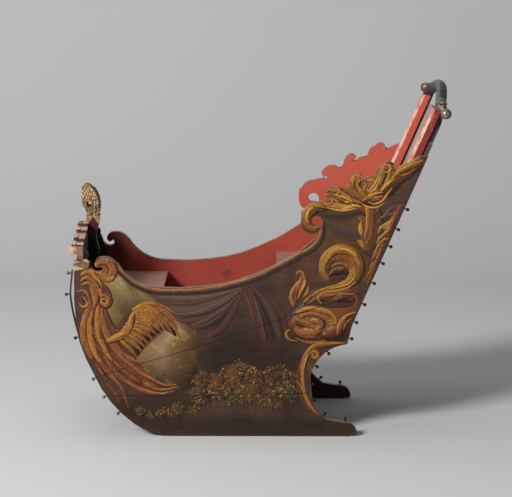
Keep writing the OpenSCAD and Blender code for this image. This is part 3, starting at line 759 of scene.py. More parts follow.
class Painting:
    def __init__(self):
        self.points, self.faces, self.kinds = [], [], []
        self.count, self.total, self.height = 0, 0, 0.10      # the height is in millimetres
        self.crown, self.hair = 0.0, 0.3
        self.values = {key: [] for key in ("shade", "across", "wide", "along", "soft", "hair", "ink")}

    def stroke(self, ink, widths, path, level=1.0, soft=0.0):
        spine = smoothPath(path, brushSetup["step"])
        n = len(spine)
        run = np.vstack([spine[1] - spine[0], spine[2:] - spine[:-2], spine[-1] - spine[-2]])
        run /= np.maximum(np.linalg.norm(run, axis=1), 1e-6)[:, None]
        side = np.stack([-run[:, 1], run[:, 0]], 1)
        half = np.interp(np.linspace(0, 1, n), np.linspace(0, 1, len(widths)), widths) / 2
        steps = np.linalg.norm(np.diff(spine, axis=0), axis=1)
        length = np.concatenate([[0], np.cumsum(steps)])
        facing = side @ np.array(brushSetup["light"])
        columns = brushSetup["thinColumns" if max(widths) < brushSetup["thinWidth"] else "columns"]
        columns = np.array(columns[:1] + columns + columns[-1:])
        grid = np.zeros((n, len(columns), 3))
        grid[:, :, :2] = spine[:, None] + side[:, None] * (half[:, None] * columns)[:, :, None]
        bulge = np.minimum(half * 2 * brushSetup["crown"], brushSetup["crownMost"]) * self.crown
        grid[:, :, 2] = self.height + bulge[:, None] * (1 - columns ** 2)
        grid[:, 0, 2] = grid[:, -1, 2] = brushSetup["skirt"]
        shade = 0.5 + 0.42 * columns * facing[:, None] + 0.12 * (1 - columns ** 2)
        m = len(columns)
        for i in range(n - 1):
            for j in range(m - 1):
                a = self.total + i * m + j
                self.faces.append((a, a + 1, a + m + 1, a + m))
        self.kinds += [0] * ((n - 1) * (m - 1))
        self.keep(grid.reshape(-1, 3), ink, level, shade.reshape(-1), np.tile(columns, n),
                  (half[:, None] * columns).reshape(-1), np.repeat(length, m), soft)

    def keep(self, points, ink, level, shade, across, wide, along, soft):
        size = len(points)
        ones = np.ones(size)
        self.points.append(points)
        colour = np.array(hexColour(inks[ink])) * (level, level, level, 1)
        made = {"shade": shade, "across": across, "wide": wide, "along": along + 41.0 * self.count,
                "soft": soft * ones, "hair": self.hair * ones, "ink": np.tile(colour, (size, 1))}
        for key, value in made.items():
            self.values[key].append(value)
        self.total += size
        self.count += 1
        self.height += brushSetup["layer"]

    def strokes(self, rows):
        for row in rows:
            self.stroke(*row)

    def patch(self, ink, outline, kind=0, level=1.0):
        border = smoothPath(list(outline) + [outline[0]], 6.0)[:-1]
        n = len(border)
        after = np.roll(border, -1, 0)
        area = (border[:, 0] * after[:, 1] - after[:, 0] * border[:, 1]).sum()
        order = list(range(n)) if area > 0 else list(range(n))[::-1]
        self.faces.append(tuple(self.total + i for i in order))
        for i, k in zip(order, order[1:] + order[:1]):
            corners = (n + i, n + k, k, i)
            self.faces.append(tuple(self.total + c for c in corners))
        self.kinds += [kind] * (n + 1)
        heights = np.repeat([self.height, brushSetup["skirt"]], n)
        points = np.column_stack([np.vstack([border, border]), heights])
        flat = np.zeros(2 * n)
        self.keep(points, ink, level, flat + 0.5, flat, flat, flat, 0.0)

    def make(self, name, sign):
        points = np.vstack(self.points)
        flat = points[:, :2] + (drawShift * 1000, 0)
        outside = ~insideAny(flat, plankLoops)
        flat[outside] = nearestOnEdges(flat[outside], plankLoops)
        points[outside, 2] = np.minimum(points[outside, 2], brushSetup["trimmed"])
        depth = sign * (outerY * 1000 + points[:, 2])
        place = np.column_stack([flat[:, 0], depth, flat[:, 1]]) / 1000
        centres = np.array([flat[list(f)].mean(0) for f in self.faces])
        kept = insideAny(centres, plankLoops)
        faces = [f[::-1] if sign > 0 else f for f, k in zip(self.faces, kept) if k]
        kinds = [kind for kind, k in zip(self.kinds, kept) if k]
        piece = newObject(name, place, faces)
        mesh = piece.data
        for key in ("shade", "across", "wide", "along", "soft", "hair"):
            addLayer(mesh, key, np.concatenate(self.values[key]))
        layer = mesh.attributes.new("ink", "FLOAT_COLOR", "POINT")
        layer.data.foreach_set("color", np.vstack(self.values["ink"]).astype(np.float32).reshape(-1))
        for material in (brushMaterial, skyMaterial):
            mesh.materials.append(material)
        mesh.polygons.foreach_set("material_index", kinds)
        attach(piece, "root")
        return piece


brushPaint = {
    "glint": "#d9a550", "outline": "#2b1a10", "age": "#20150f",
    # shade of a stroke and the grey that its ink is multiplied by
    "tone": ((0.05, "#3d3029"), (0.30, "#8d8580"), (0.52, "#d2cfcc"), (0.72, "#ffffff"), (0.95, "#ffffff")),
    # noise for each millimetre along and across a stroke, and its detail
    "strands": (0.022, 0.30, 2), "lines": (0.05, 1.3, 3),
}


def brushHairs(t, alongScale, acrossScale, detail):
    parts = {0: t.times(t.attribute("along"), alongScale), 1: t.times(t.attribute("wide"), acrossScale)}
    return t.noise(t.add("CombineXYZ", parts).outputs[0], 1.0, detail, 0.6)


def aged(t, ground, colour, amount, ageColour):
    colour = t.mix(t.times(ground["Age"], amount), colour, ageColour)
    return t.mix(ground["Crack"], colour, groundPaint["crackColour"])


def makeBrushMaterial(setup):
    material, t = newMaterial("brushPaint")
    place = t.place()
    ground = t.group(sideGround)
    strands = brushHairs(t, *setup["strands"])
    lines = brushHairs(t, *setup["lines"])
    dabs = t.noise(place, 130, 4, 0.65)
    soft = t.attribute("soft")
    hard = t.calc("SUBTRACT", 1.0, t.times(soft, 0.6))
    rough = t.times(t.fit(strands, 0.34, 0.66, -0.26, 0.22), t.attribute("hair"))
    rough = t.calc("ADD", rough, t.fit(lines, 0.3, 0.7, -0.08, 0.08))
    rough = t.calc("ADD", rough, t.fit(dabs, 0.3, 0.7, -0.15, 0.15))
    shade = t.calc("MULTIPLY_ADD", rough, hard, t.attribute("shade"))
    colour = t.mix(1.0, t.attribute("ink", "Color"), t.ramp(shade, setup["tone"]), "MULTIPLY")
    glint = t.times(t.fit(shade, 0.70, 1.05, 0.0, 0.50), t.calc("SUBTRACT", 1.0, soft))
    colour = t.mix(glint, colour, setup["glint"])
    edge = t.calc("ABSOLUTE", t.attribute("across"))
    frayed = t.calc("ADD", edge, t.fit(t.calc("ADD", lines, dabs), 0.7, 1.3, -0.14, 0.14))
    outline = t.times(t.fit(frayed, 0.66, 0.98, 0.0, 0.85), t.calc("SUBTRACT", 1.0, soft))
    outline = t.times(outline, t.fit(shade, 0.25, 0.85, 1.0, 0.35))
    colour = t.mix(outline, colour, setup["outline"])
    fade = t.times(t.fit(frayed, 0.10, 0.95, 0.0, 1.0, smooth=True), soft)
    colour = aged(t, ground, t.mix(fade, colour, ground["Colour"]), 0.35, setup["age"])
    t.finish(colour, t.fit(dabs, 0.3, 0.7, 0.40, 0.55), lines, 0.3, 0.0004, **varnish)
    return material


skyPaint = {
    "high": "#76603a", "light": "#8c7344", "haze": "#6b5d3c", "middle": "#6c4f30", "low": "#4c3524",
    "age": "#2c2114",
    "middleFrom": (0.19, 0.27), "highFrom": (0.32, 0.42),     # z between which the colours change
}


def makeSkyMaterial(setup):
    material, t = newMaterial("skyPaint")
    ground = t.group(sideGround)
    place = t.place()
    height = t.split(place)[2]
    warped = t.calc("ADD", height, t.fit(t.noise(place, 16, 4, 0.6), 0.0, 1.0, -0.07, 0.07))
    colour = t.mix(t.fit(warped, *setup["middleFrom"]), setup["low"], setup["middle"])
    colour = t.mix(t.fit(warped, *setup["highFrom"]), colour, setup["high"])
    clouds = t.noise(t.stretch(place, 16, 1, 26), 1, 5, 0.65, 0.6)
    colour = t.mix(t.fit(clouds, 0.52, 0.68, 0.0, 0.75), colour, setup["light"])
    colour = t.mix(t.fit(clouds, 0.44, 0.32, 0.0, 0.55), colour, setup["haze"])
    dabs = t.noise(place, 170, 4, 0.7)
    tone = t.fit(dabs, 0.3, 0.7, 0.82, 1.16)
    colour = t.mix(1.0, colour, t.grey(tone), "MULTIPLY")
    colour = aged(t, ground, colour, 0.4, setup["age"])
    t.finish(colour, t.fit(dabs, 0.3, 0.7, 0.42, 0.55), dabs, 0.25, 0.0005, **varnish)
    return material


brushMaterial = makeBrushMaterial(brushPaint)
skyMaterial = makeSkyMaterial(skyPaint)

# A row of strokes gives ink, widths along the stroke, path, brightness and softness, in the
# drawing's millimetres. The rows are painted in this order, and each lies over the last.

# Outlines of the light patches behind the shrubs
skyPatches = (
    ((-482, 500), (-455, 514), (-436, 535), (-418, 517), (-392, 497), (-365, 485), (-350, 474),
     (-338, 460), (-320, 444), (-305, 430), (-330, 414), (-375, 410), (-410, 392), (-424, 370), (-436, 352),
     (-452, 360), (-464, 395), (-474, 440)),
    ((-384, 232), (-372, 262), (-352, 285), (-338, 300), (-318, 318), (-296, 338), (-276, 360),
     (-272, 382), (-255, 378), (-222, 362), (-196, 344), (-184, 341), (-183, 290), (-184, 230),
     (-187, 172), (-215, 152), (-260, 152), (-310, 160), (-350, 190)))

# Drapery that hangs from the rim
drapery = (
    ("plumLight", (10, 34, 40, 20), ((-44, 482), (-110, 462), (-200, 448), (-305, 452)), 0.85, 1.0),
    ("plum", (8, 40, 50, 20), ((-44, 478), (-110, 436), (-190, 408), (-285, 408)), 1.0, 1.0),
    ("wine", (6, 26, 34, 16), ((-42, 476), (-95, 425), (-160, 385), (-235, 368)), 1.0, 1.0),
    ("dusk", (4, 20, 26, 10), ((-40, 474), (-85, 408), (-130, 366), (-190, 345)), 1.0, 1.0),
    ("wine", (5, 22, 26, 10), ((-38, 472), (-72, 402), (-104, 352), (-150, 322)), 0.95, 1.0),
    ("plumLight", (3, 9, 12, 4), ((-60, 468), (-120, 430), (-190, 402), (-262, 396)), 0.95, 1.0),
    ("plumLight", (3, 8, 10, 4), ((-55, 458), (-100, 415), (-150, 383), (-200, 362)), 0.85, 1.0),
    ("wine", (3, 10, 12, 4), ((-60, 474), (-130, 448), (-210, 428), (-300, 430)), 0.8, 1.0),
    ("dusk", (3, 12, 14, 5), ((-50, 466), (-100, 428), (-160, 398), (-240, 384)), 1.0, 1.0),
    ("wine", (6, 22, 30, 24), ((-22, 480), (-6, 430), (12, 375), (28, 310)), 0.95, 1.0),
    ("plum", (6, 24, 34, 20), ((-12, 488), (30, 440), (60, 380), (78, 320)), 0.8, 1.0),
    ("dusk", (4, 14, 20, 10), ((-18, 484), (16, 430), (40, 372), (54, 310)), 1.0, 1.0),
    ("wine", (4, 14, 20, 12), ((0, 492), (50, 450), (84, 400), (100, 340)), 0.85, 1.0),
    ("plumLight", (3, 8, 9, 4), ((-16, 480), (2, 430), (18, 378), (30, 330)), 0.75, 1.0),
    ("copper", (2, 5, 5, 2), ((-40, 484), (-28, 452), (-14, 412), (-6, 372)), 0.8, 0.6),
    ("wine", (6, 14, 12), ((-48, 490), (-36, 482), (-20, 490)), 1.1, 0.8))

# Winged creature at the bow
birdBody = (
    ("russet", (30, 66, 84, 92, 76, 40),
     ((-510, 450), (-518, 395), (-508, 335), (-478, 275), (-425, 222), (-352, 172)), 0.8),
    ("russet", (8, 20, 16, 5), ((-528, 292), (-508, 240), (-480, 192), (-452, 150), (-434, 112)), 0.8),
    ("copper", (8, 20, 18, 12, 3),
     ((-518, 300), (-492, 246), (-458, 198), (-428, 160), (-414, 124), (-404, 92)), 0.75),
    ("russet", (6, 16, 16, 4), ((-500, 290), (-470, 235), (-435, 190), (-398, 162)), 0.95),
    ("copper", (10, 22, 22, 16, 4),
     ((-505, 320), (-480, 262), (-445, 210), (-400, 172), (-350, 146), (-300, 137), (-256, 149)), 0.82),
    ("russet", (6, 14, 12, 6, 3), ((-478, 262), (-432, 212), (-388, 180), (-335, 154)), 0.9),
    ("copper", (10, 22, 22, 14, 4),
     ((-497, 322), (-466, 266), (-425, 220), (-385, 190), (-338, 163), (-295, 151), (-250, 159)), 0.95),
    ("gold", (4, 10, 10, 6, 2), ((-486, 300), (-452, 252), (-410, 214), (-362, 184), (-312, 164)), 0.9),
    ("copper", (10, 20, 18, 12, 4),
     ((-480, 330), (-450, 284), (-412, 244), (-375, 214), (-340, 192), (-308, 174), (-280, 165),
      (-250, 169)), 1.0),
    ("russet", (8, 18, 16, 5),
     ((-462, 320), (-440, 282), (-412, 254), (-385, 237), (-362, 221), (-340, 199)), 1.0),
    ("gold", (5, 12, 10, 3), ((-458, 300), (-432, 268), (-404, 246), (-374, 228)), 0.85),
    ("copper", (6, 16, 14, 3), ((-446, 308), (-426, 276), (-398, 254), (-370, 240)), 0.9),
    ("russet", (8, 20, 26, 18), ((-478, 425), (-468, 380), (-452, 348), (-430, 328)), 0.8),
    ("copper", (12, 28, 28, 16), ((-520, 430), (-536, 385), (-543, 335), (-534, 290), (-518, 255)), 0.85),
    ("gold", (12, 28, 28, 14), ((-508, 435), (-522, 380), (-524, 330), (-512, 280), (-496, 242)), 0.95),
    ("copper", (10, 26, 26, 16), ((-486, 425), (-483, 380), (-472, 335), (-450, 295), (-422, 262)), 0.9),
    ("gold", (12, 28, 30, 16), ((-497, 434), (-502, 380), (-499, 330), (-478, 282), (-454, 240)), 1.0),
    ("lightGold", (3, 9, 9, 3), ((-516, 415), (-524, 375), (-526, 335), (-516, 290)), 0.95),
    ("lightGold", (3, 8, 8, 2), ((-500, 420), (-505, 380), (-503, 335), (-490, 295)), 0.95),
    ("umber", (1, 3, 3, 1), ((-508, 425), (-513, 380), (-511, 335), (-497, 285), (-478, 248)), 1.1),
    ("umber", (1, 3, 3, 1), ((-492, 420), (-492, 380), (-486, 335), (-466, 290), (-444, 256)), 1.1),
    ("umber", (1, 3, 3, 1), ((-531, 405), (-535, 360), (-531, 315), (-517, 268)), 1.1),
    ("lightGold", (2, 7, 6, 2), ((-478, 400), (-472, 365), (-460, 335)), 0.85))

birdWing = {
    "roots": ((-388, 408), (-384, 404), (-381, 399), (-379, 393), (-378, 386), (-378, 378), (-380, 369),
              (-384, 359), (-390, 349), (-398, 340), (-407, 332), (-418, 324), (-430, 316)),
    "tips": ((-254, 398), (-250, 374), (-244, 346), (-236, 316), (-262, 333), (-286, 348), (-297, 338),
             (-309, 327), (-325, 315), (-341, 301), (-349, 287), (-357, 271), (-374, 254)),
    "bulge": (26, 34, 38, 36, 26, 18, 14, 11, 9, 7, 5, 4, 3),
    "rows": ((1.0, "copper", 17.0, 0.95), (0.64, "gold", 17.0, 0.85), (0.38, "gold", 15.0, 1.0)),
}

birdHead = (
    ("copper", (14, 34, 36, 24, 10),
     ((-528, 522), (-510, 495), (-503, 465), (-504, 440), (-508, 418)), 0.95),
    ("russet", (8, 20, 16, 6), ((-484, 496), (-469, 472), (-460, 448), (-467, 424)), 0.9),
    ("gold", (6, 16, 13, 3), ((-550, 522), (-532, 532), (-511, 524), (-496, 507)), 1.0),
    ("gold", (6, 16, 13, 3), ((-551, 503), (-535, 512), (-515, 506), (-498, 488)), 0.95),
    ("copper", (5, 14, 11, 3), ((-549, 488), (-532, 495), (-514, 489), (-500, 470)), 0.95),
    ("gold", (6, 17, 14, 4), ((-532, 530), (-505, 534), (-484, 524), (-468, 508)), 1.05),
    ("lightGold", (3, 9, 8, 2), ((-528, 518), (-508, 514), (-492, 500), (-485, 482)), 1.0),
    ("gold", (6, 16, 14, 4), ((-516, 482), (-502, 480), (-489, 468), (-487, 446)), 1.0),
    ("umber", (2, 7, 6, 2), ((-548, 476), (-541, 462), (-546, 446), (-539, 434)), 1.0),
    ("copper", (4, 13, 11, 3), ((-561, 467), (-546, 471), (-530, 459), (-523, 436)), 1.0),
    ("pink", (2, 7, 6, 2), ((-552, 470), (-540, 467), (-530, 454)), 0.95),
    ("gold", (3, 11, 10, 3), ((-558, 433), (-547, 419), (-533, 423), (-526, 440)), 0.95),
    ("pink", (2, 8, 7, 2), ((-549, 454), (-538, 446), (-533, 432)), 0.95),
    ("russet", (6, 12, 12, 5), curl((-477, 438), 23, 19, 120, -160), 0.8),
    ("gold", (6, 12, 11, 7, 3), curl((-478, 439), 18, 4, 130, -330), 1.0))

# Scroll and leaves on the bow's curl
bowScroll = (
    ("copper", (24, 52, 54, 30), ((-508, 548), (-486, 546), (-462, 538), (-446, 520)), 0.95),
    ("gold", (10, 26, 32, 26, 12), ((-548, 524), (-520, 528), (-492, 522), (-466, 511), (-446, 508)), 0.9),
    ("copper", (16, 28, 30, 28, 20, 12),
     ((-455, 508), (-446, 535), (-455, 556), (-477, 564), (-497, 557), (-502, 547)), 1.05),
    ("pink", (3, 8, 8, 3), ((-444, 545), (-458, 564), (-480, 573), (-500, 564)), 0.9),
    ("umber", (1, 3, 3, 2), ((-440, 520), (-436, 536), (-444, 555), (-462, 568)), 1.1),
    ("gold", (4, 10, 10, 4), ((-472, 516), (-458, 524), (-456, 541), (-466, 555)), 0.95),
    ("umber", (1, 3, 3, 1), ((-482, 518), (-466, 524), (-464, 541), (-474, 555)), 1.1),
    ("gold", (4, 13, 13, 5), ((-508, 528), (-484, 516), (-460, 508), (-444, 518)), 1.0),
    ("copper", (3, 9, 9, 3), ((-494, 512), (-474, 503), (-456, 504), (-446, 514)), 0.9))

# Soft lights and shades under the ornament of the stern
sternGlow = (
    ("copper", (70, 150, 170, 130, 70),
     ((108, 350), (160, 362), (220, 375), (280, 405), (326, 452)), 0.62, 1.0),
    ("ochre", (50, 110, 120, 100, 50),
     ((225, 500), (250, 545), (300, 560), (340, 535), (355, 500)), 0.5, 1.0),
    ("copper", (40, 90, 100, 90, 40),
     ((345, 775), (350, 715), (360, 660), (352, 620), (350, 600)), 0.6, 1.0),
    ("plum", (30, 60, 60, 30), ((225, 690), (265, 665), (300, 655), (330, 650)), 0.75, 1.0))

sternScrolls = (
    ("russet", (30, 60, 70, 60, 40),
     ((150, 440), (190, 448), (240, 452), (290, 450), (330, 470)), 0.75, 0.9),
    ("ochre", (20, 34, 52, 66, 68, 60, 46, 34, 26, 22, 16, 6),
     ((226, 508), (216, 535), (229, 570), (262, 588), (298, 580), (318, 552), (316, 522), (298, 498),
      (262, 483), (225, 474), (192, 463), (165, 445)), 0.95),
    ("gold", (8, 22, 28, 24, 10), ((222, 558), (240, 590), (272, 603), (308, 590), (328, 556)), 0.95),
    ("lightGold", (3, 10, 12, 3), ((258, 605), (288, 603), (316, 584)), 1.0),
    ("gold", (4, 12, 12, 4), ((216, 530), (218, 555), (230, 575)), 0.85),
    ("umber", (8, 26, 24, 8), ((232, 520), (252, 533), (274, 536), (294, 526)), 1.0),
    ("copper", (5, 12, 12, 5), ((240, 548), (256, 558), (278, 557), (296, 545)), 0.9),
    ("lightGold", (2, 5, 6, 5, 2), ((308, 545), (313, 520), (300, 499), (275, 487), (232, 478)), 0.95),
    ("copper", (4, 13, 15, 12, 4), ((166, 430), (190, 447), (220, 456), (258, 462), (300, 476)), 0.95),
    ("gold", (3, 9, 10, 9, 3), ((192, 456), (222, 467), (258, 471), (292, 481), (318, 502)), 0.95),
    ("umber", (8, 22, 20, 8), ((250, 440), (275, 446), (303, 440)), 0.95),
    ("copper", (4, 9, 9, 8, 4),
     ((242, 440), (262, 456), (290, 461), (316, 455), (322, 438), (314, 423)), 0.85),
    ("umber", (8, 20, 8), ((204, 446), (213, 445), (222, 444)), 0.9),
    ("gold", (3, 7, 7, 3), curl((213, 445), 15, 13, 40, 260), 0.9),
    ("copper", (10, 28, 32, 26, 16, 8),
     ((120, 422), (121, 455), (133, 482), (146, 504), (149, 522), (137, 533)), 0.9),
    ("russet", (4, 11, 9, 3), ((118, 440), (119, 462), (127, 484)), 1.0),
    ("gold", (4, 12, 12, 5), ((134, 446), (146, 474), (156, 500), (154, 520)), 0.95),
    ("gold", (3, 11, 10, 3), ((152, 452), (165, 468), (168, 488)), 0.85),
    ("copper", (3, 11, 10, 3), ((148, 432), (164, 442), (176, 460)), 0.9),
    ("lightGold", (2, 6, 5, 2), ((147, 472), (155, 490), (158, 508)), 1.0),
    ("gold", (3, 7, 7, 3), ((128, 524), (137, 534), (150, 530), (153, 518)), 0.9))

shellCluster = (
    ("copper", (40, 90, 108, 90, 40), ((112, 370), (148, 362), (185, 356), (222, 352), (262, 350)), 0.72),
    ("russet", (16, 46, 52, 26), ((212, 328), (240, 333), (264, 350), (270, 380)), 0.75),
    ("gold", (8, 20, 22, 20, 15, 8),
     ((128, 400), (160, 412), (197, 412), (231, 402), (252, 384), (254, 360)), 0.95),
    ("ochre", (6, 16, 18, 13, 6), ((138, 384), (162, 395), (192, 395), (218, 384), (227, 364)), 1.0),
    ("copper", (14, 34, 40, 26), ((122, 350), (148, 336), (180, 338), (208, 350)), 1.05),
    ("copper", (8, 22, 22, 8), ((128, 378), (150, 372), (172, 362), (190, 350)), 0.95),
    ("gold", (6, 19, 6), ((174, 376), (186, 376), (197, 374)), 1.05),
    ("lightGold", (3, 9, 3), ((179, 380), (186, 380), (193, 378)), 1.0),
    ("umber", (4, 11, 11, 4), ((204, 382), (217, 374), (216, 356), (202, 349)), 1.0),
    ("umber", (2, 7, 7, 2), ((124, 368), (142, 360), (162, 359)), 1.0),
    ("copper", (3, 9, 9, 3), ((236, 362), (256, 366), (274, 360)), 0.9),
    ("gold", (4, 10, 9, 5, 3), ((110, 348), (99, 339), (100, 322), (114, 313), (132, 311)), 0.85),
    ("copper", (4, 12, 13, 9), ((130, 320), (158, 307), (190, 303), (224, 309)), 0.85),
    ("copper", (6, 22, 24, 12, 3), ((260, 330), (270, 360), (288, 388), (314, 405)), 0.9),
    ("gold", (3, 10, 9, 3), ((272, 368), (290, 392), (318, 403)), 0.9),
    ("russet", (3, 10, 9, 3), ((278, 345), (290, 368), (306, 384)), 1.0),
    ("lightGold", (3, 8, 8, 3), ((150, 409), (178, 416), (206, 411)), 0.95),
    ("russet", (4, 10, 10, 3), ((140, 326), (165, 320), (192, 324)), 0.95))

scoopBorder = (
    ("copper", (8, 18, 20, 18, 16, 15, 14, 12, 6),
     ((270, 304), (222, 298), (186, 290), (162, 264), (150, 228), (148, 190), (155, 142), (176, 94),
      (204, 68)), 0.8),
    ("russet", (4, 12, 12, 11, 5), ((140, 240), (136, 205), (138, 165), (150, 120), (172, 84)), 0.85, 0.5),
    ("gold", (3, 8, 8, 8, 7, 4),
     ((184, 285), (164, 263), (154, 232), (152, 197), (157, 150), (172, 108), (196, 76)), 0.9),
    ("gold", (3, 7, 6, 2), ((286, 304), (250, 302), (215, 298)), 0.85),
    ("lightGold", (2, 4, 4, 2), ((170, 268), (160, 246), (155, 222)), 0.95),
    ("copper", (3, 8, 7, 2), ((166, 242), (176, 224), (180, 200)), 0.85),
    ("cream", (1, 3, 3, 1), ((132, 178), (146, 162), (154, 134)), 0.8),
    ("russet", (8, 16, 14, 8), curl((188, 263), 20, 16, 180, -60), 0.8),
    ("gold", (5, 11, 10, 6, 3), curl((187, 264), 14, 4, 170, -280), 0.95))

flowerStem = (
    ("copper", (8, 20, 20, 16, 10),
     ((362, 762), (366, 725), (366, 690), (364, 655), (356, 628)), 0.72, 0.5),
    ("gold", (9, 17, 14, 10, 6), ((344, 768), (353, 735), (353, 700), (350, 670), (344, 642)), 1.0),
    ("lightGold", (2, 5, 4, 2), ((349, 745), (351, 710), (350, 680)), 0.95),
    ("gold", (3, 9, 8, 3), ((318, 708), (334, 696), (334, 678)), 0.8),
    ("lightGold", (4, 17, 16, 4), ((331, 692), (331, 674), (333, 650)), 0.9),
    ("gold", (4, 17, 16, 4), ((318, 634), (332, 626), (342, 608)), 0.95),
    ("copper", (3, 9, 8, 3), ((345, 650), (352, 630), (346, 612)), 0.85))

sternCrest = (
    ("dusk", (8, 32, 36, 28, 8), ((212, 712), (245, 708), (290, 712), (326, 722), (346, 712)), 1.35, 1.0),
    ("ochre", (20, 42, 62, 72, 92, 88, 108, 66, 46, 30),
     ((176, 738), (202, 742), (228, 754), (275, 764),
      (318, 788), (358, 788), (400, 820), (432, 836), (472, 854),
      (518, 884)), 0.78, 0.3),
    ("ochre", (14, 30, 36, 36, 30, 18, 6),
     ((232, 744), (194, 740), (168, 722), (160, 697), (169, 676), (186, 667), (202, 678)), 0.95),
    ("umber", (2, 8, 6, 2), ((214, 729), (190, 726), (178, 712)), 1.1),
    ("lightGold", (3, 11, 10, 3), ((186, 744), (168, 726), (161, 702), (166, 688)), 0.95),
    ("gold", (4, 12, 10, 3), ((172, 680), (186, 672), (200, 680)), 0.9),
    ("gold", (8, 22, 26, 22, 10), ((180, 742), (225, 742), (270, 742), (315, 752), (350, 766)), 0.85),
    ("gold", (6, 16, 18, 8), ((200, 756), (236, 742), (275, 738), (312, 748)), 1.0),
    ("lightGold", (4, 13, 13, 4), ((264, 728), (290, 737), (314, 743), (332, 740)), 1.0),
    ("ochre", (8, 22, 22, 8), ((208, 774), (240, 776), (272, 762), (302, 748)), 0.95),
    ("gold", (8, 22, 24, 10), ((230, 792), (260, 790), (290, 772), (322, 754)), 0.9),
    ("ochre", (8, 22, 22, 8), ((252, 803), (282, 796), (306, 780), (334, 762)), 1.0),
    ("umber", (1, 5, 5, 2), ((230, 782), (262, 776), (294, 757)), 1.1),
    ("umber", (1, 4, 4, 1), ((214, 762), (244, 760), (280, 748)), 1.1),
    ("lightGold", (2, 7, 7, 2), ((210, 766), (236, 766), (262, 755)), 0.9),
    ("ochre", (12, 32, 34, 18), ((336, 762), (307, 785), (301, 812), (316, 836)), 0.95),
    ("gold", (6, 16, 14, 6), ((346, 768), (330, 790), (320, 812), (326, 832)), 1.0),
    ("lightGold", (2, 8, 8, 3), ((304, 806), (306, 830), (322, 840), (340, 828)), 0.9),
    ("umber", (3, 9, 8, 3), ((330, 802), (325, 814), (333, 824)), 1.1),
    ("ochre", (10, 30, 38, 30), ((358, 768), (385, 794), (398, 830), (414, 872)), 1.0),
    ("gold", (6, 16, 16, 6), ((366, 774), (388, 806), (396, 838), (404, 868)), 0.85),
    ("gold", (5, 14, 14, 5), ((376, 774), (402, 800), (416, 828), (424, 862)), 0.95),
    ("umber", (2, 5, 5, 2), ((386, 800), (402, 830), (410, 860)), 1.1),
    ("lightGold", (4, 13, 12, 4), ((396, 792), (415, 812), (436, 832)), 0.95),
    ("gold", (8, 20, 18, 9), ((350, 766), (364, 780), (380, 792), (383, 812)), 1.0),
    ("lightGold", (4, 10, 9, 3), ((352, 770), (375, 781), (400, 786)), 0.9),
    ("ochre", (8, 20, 20, 8), ((350, 768), (375, 764), (400, 772)), 0.9),
    ("lightGold", (3, 9, 9, 7, 3), ((352, 757), (374, 749), (398, 759), (412, 778), (428, 800)), 0.95),
    ("umber", (3, 9, 8, 3), ((358, 758), (374, 757), (390, 763)), 1.0),
    ("ochre", (6, 18, 18, 8), ((438, 838), (462, 853), (490, 867), (524, 886)), 0.95),
    ("gold", (5, 14, 14, 5), ((442, 854), (462, 870), (486, 882), (514, 895)), 0.95),
    ("copper", (4, 11, 10, 4), ((440, 842), (458, 838), (478, 845), (500, 860)), 0.9),
    ("lightGold", (2, 6, 6, 2), ((452, 864), (474, 874), (498, 886)), 0.9),
    ("lightGold", (4, 10, 10, 9, 4), curl((362, 808), 19, 17, -140, 130), 0.95),
    ("gold", (3, 9, 9, 7, 3), curl((250, 790), 13, 12, -150, 120), 1.05),
    ("lightGold", (2, 6, 6, 5, 2), curl((286, 764), 10, 9, -160, 100), 1.1),
    ("gold", (3, 8, 8, 6, 3), curl((232, 760), 11, 10, -170, 90), 1.0),
    ("lightGold", (2, 7, 7, 5, 2), curl((410, 862), 13, 12, -120, 140), 1.1),
    ("gold", (3, 8, 8, 6, 3), curl((452, 862), 11, 10, -150, 90), 1.1),
    ("lightGold", (2, 7, 7, 5, 2), ((330, 752), (352, 740), (380, 738), (404, 752)), 1.05),
    ("lightGold", (2, 7, 7, 3), ((222, 738), (252, 730), (284, 728), (318, 736)), 1.05),
    ("cream", (1, 4, 4, 1), ((336, 790), (344, 806), (342, 822)), 0.95),
    ("gold", (4, 14, 16, 12, 4), ((424, 828), (448, 848), (474, 864), (506, 884)), 1.05),
    ("lightGold", (2, 7, 8, 3), ((436, 846), (456, 858), (482, 872)), 1.05),
    ("lightGold", (2, 8, 8, 3), ((352, 786), (372, 808), (386, 834)), 1.0),
    ("lightGold", (2, 8, 8, 3), ((250, 776), (278, 770), (302, 756)), 1.0),
    ("cream", (1, 4, 4, 1), ((372, 790), (384, 812), (392, 834)), 0.95),
    ("cream", (1, 4, 4, 1), ((462, 872), (482, 882), (502, 892)), 0.9),
    ("cream", (1, 3, 3, 1), ((246, 796), (270, 788), (292, 772)), 0.9),
    ("gold", (3, 8, 8, 4), curl((322, 824), 10, 5, 200, -60), 0.9),
    ("umber", (2, 7, 2), ((302, 754), (312, 752), (320, 748)), 1.0))

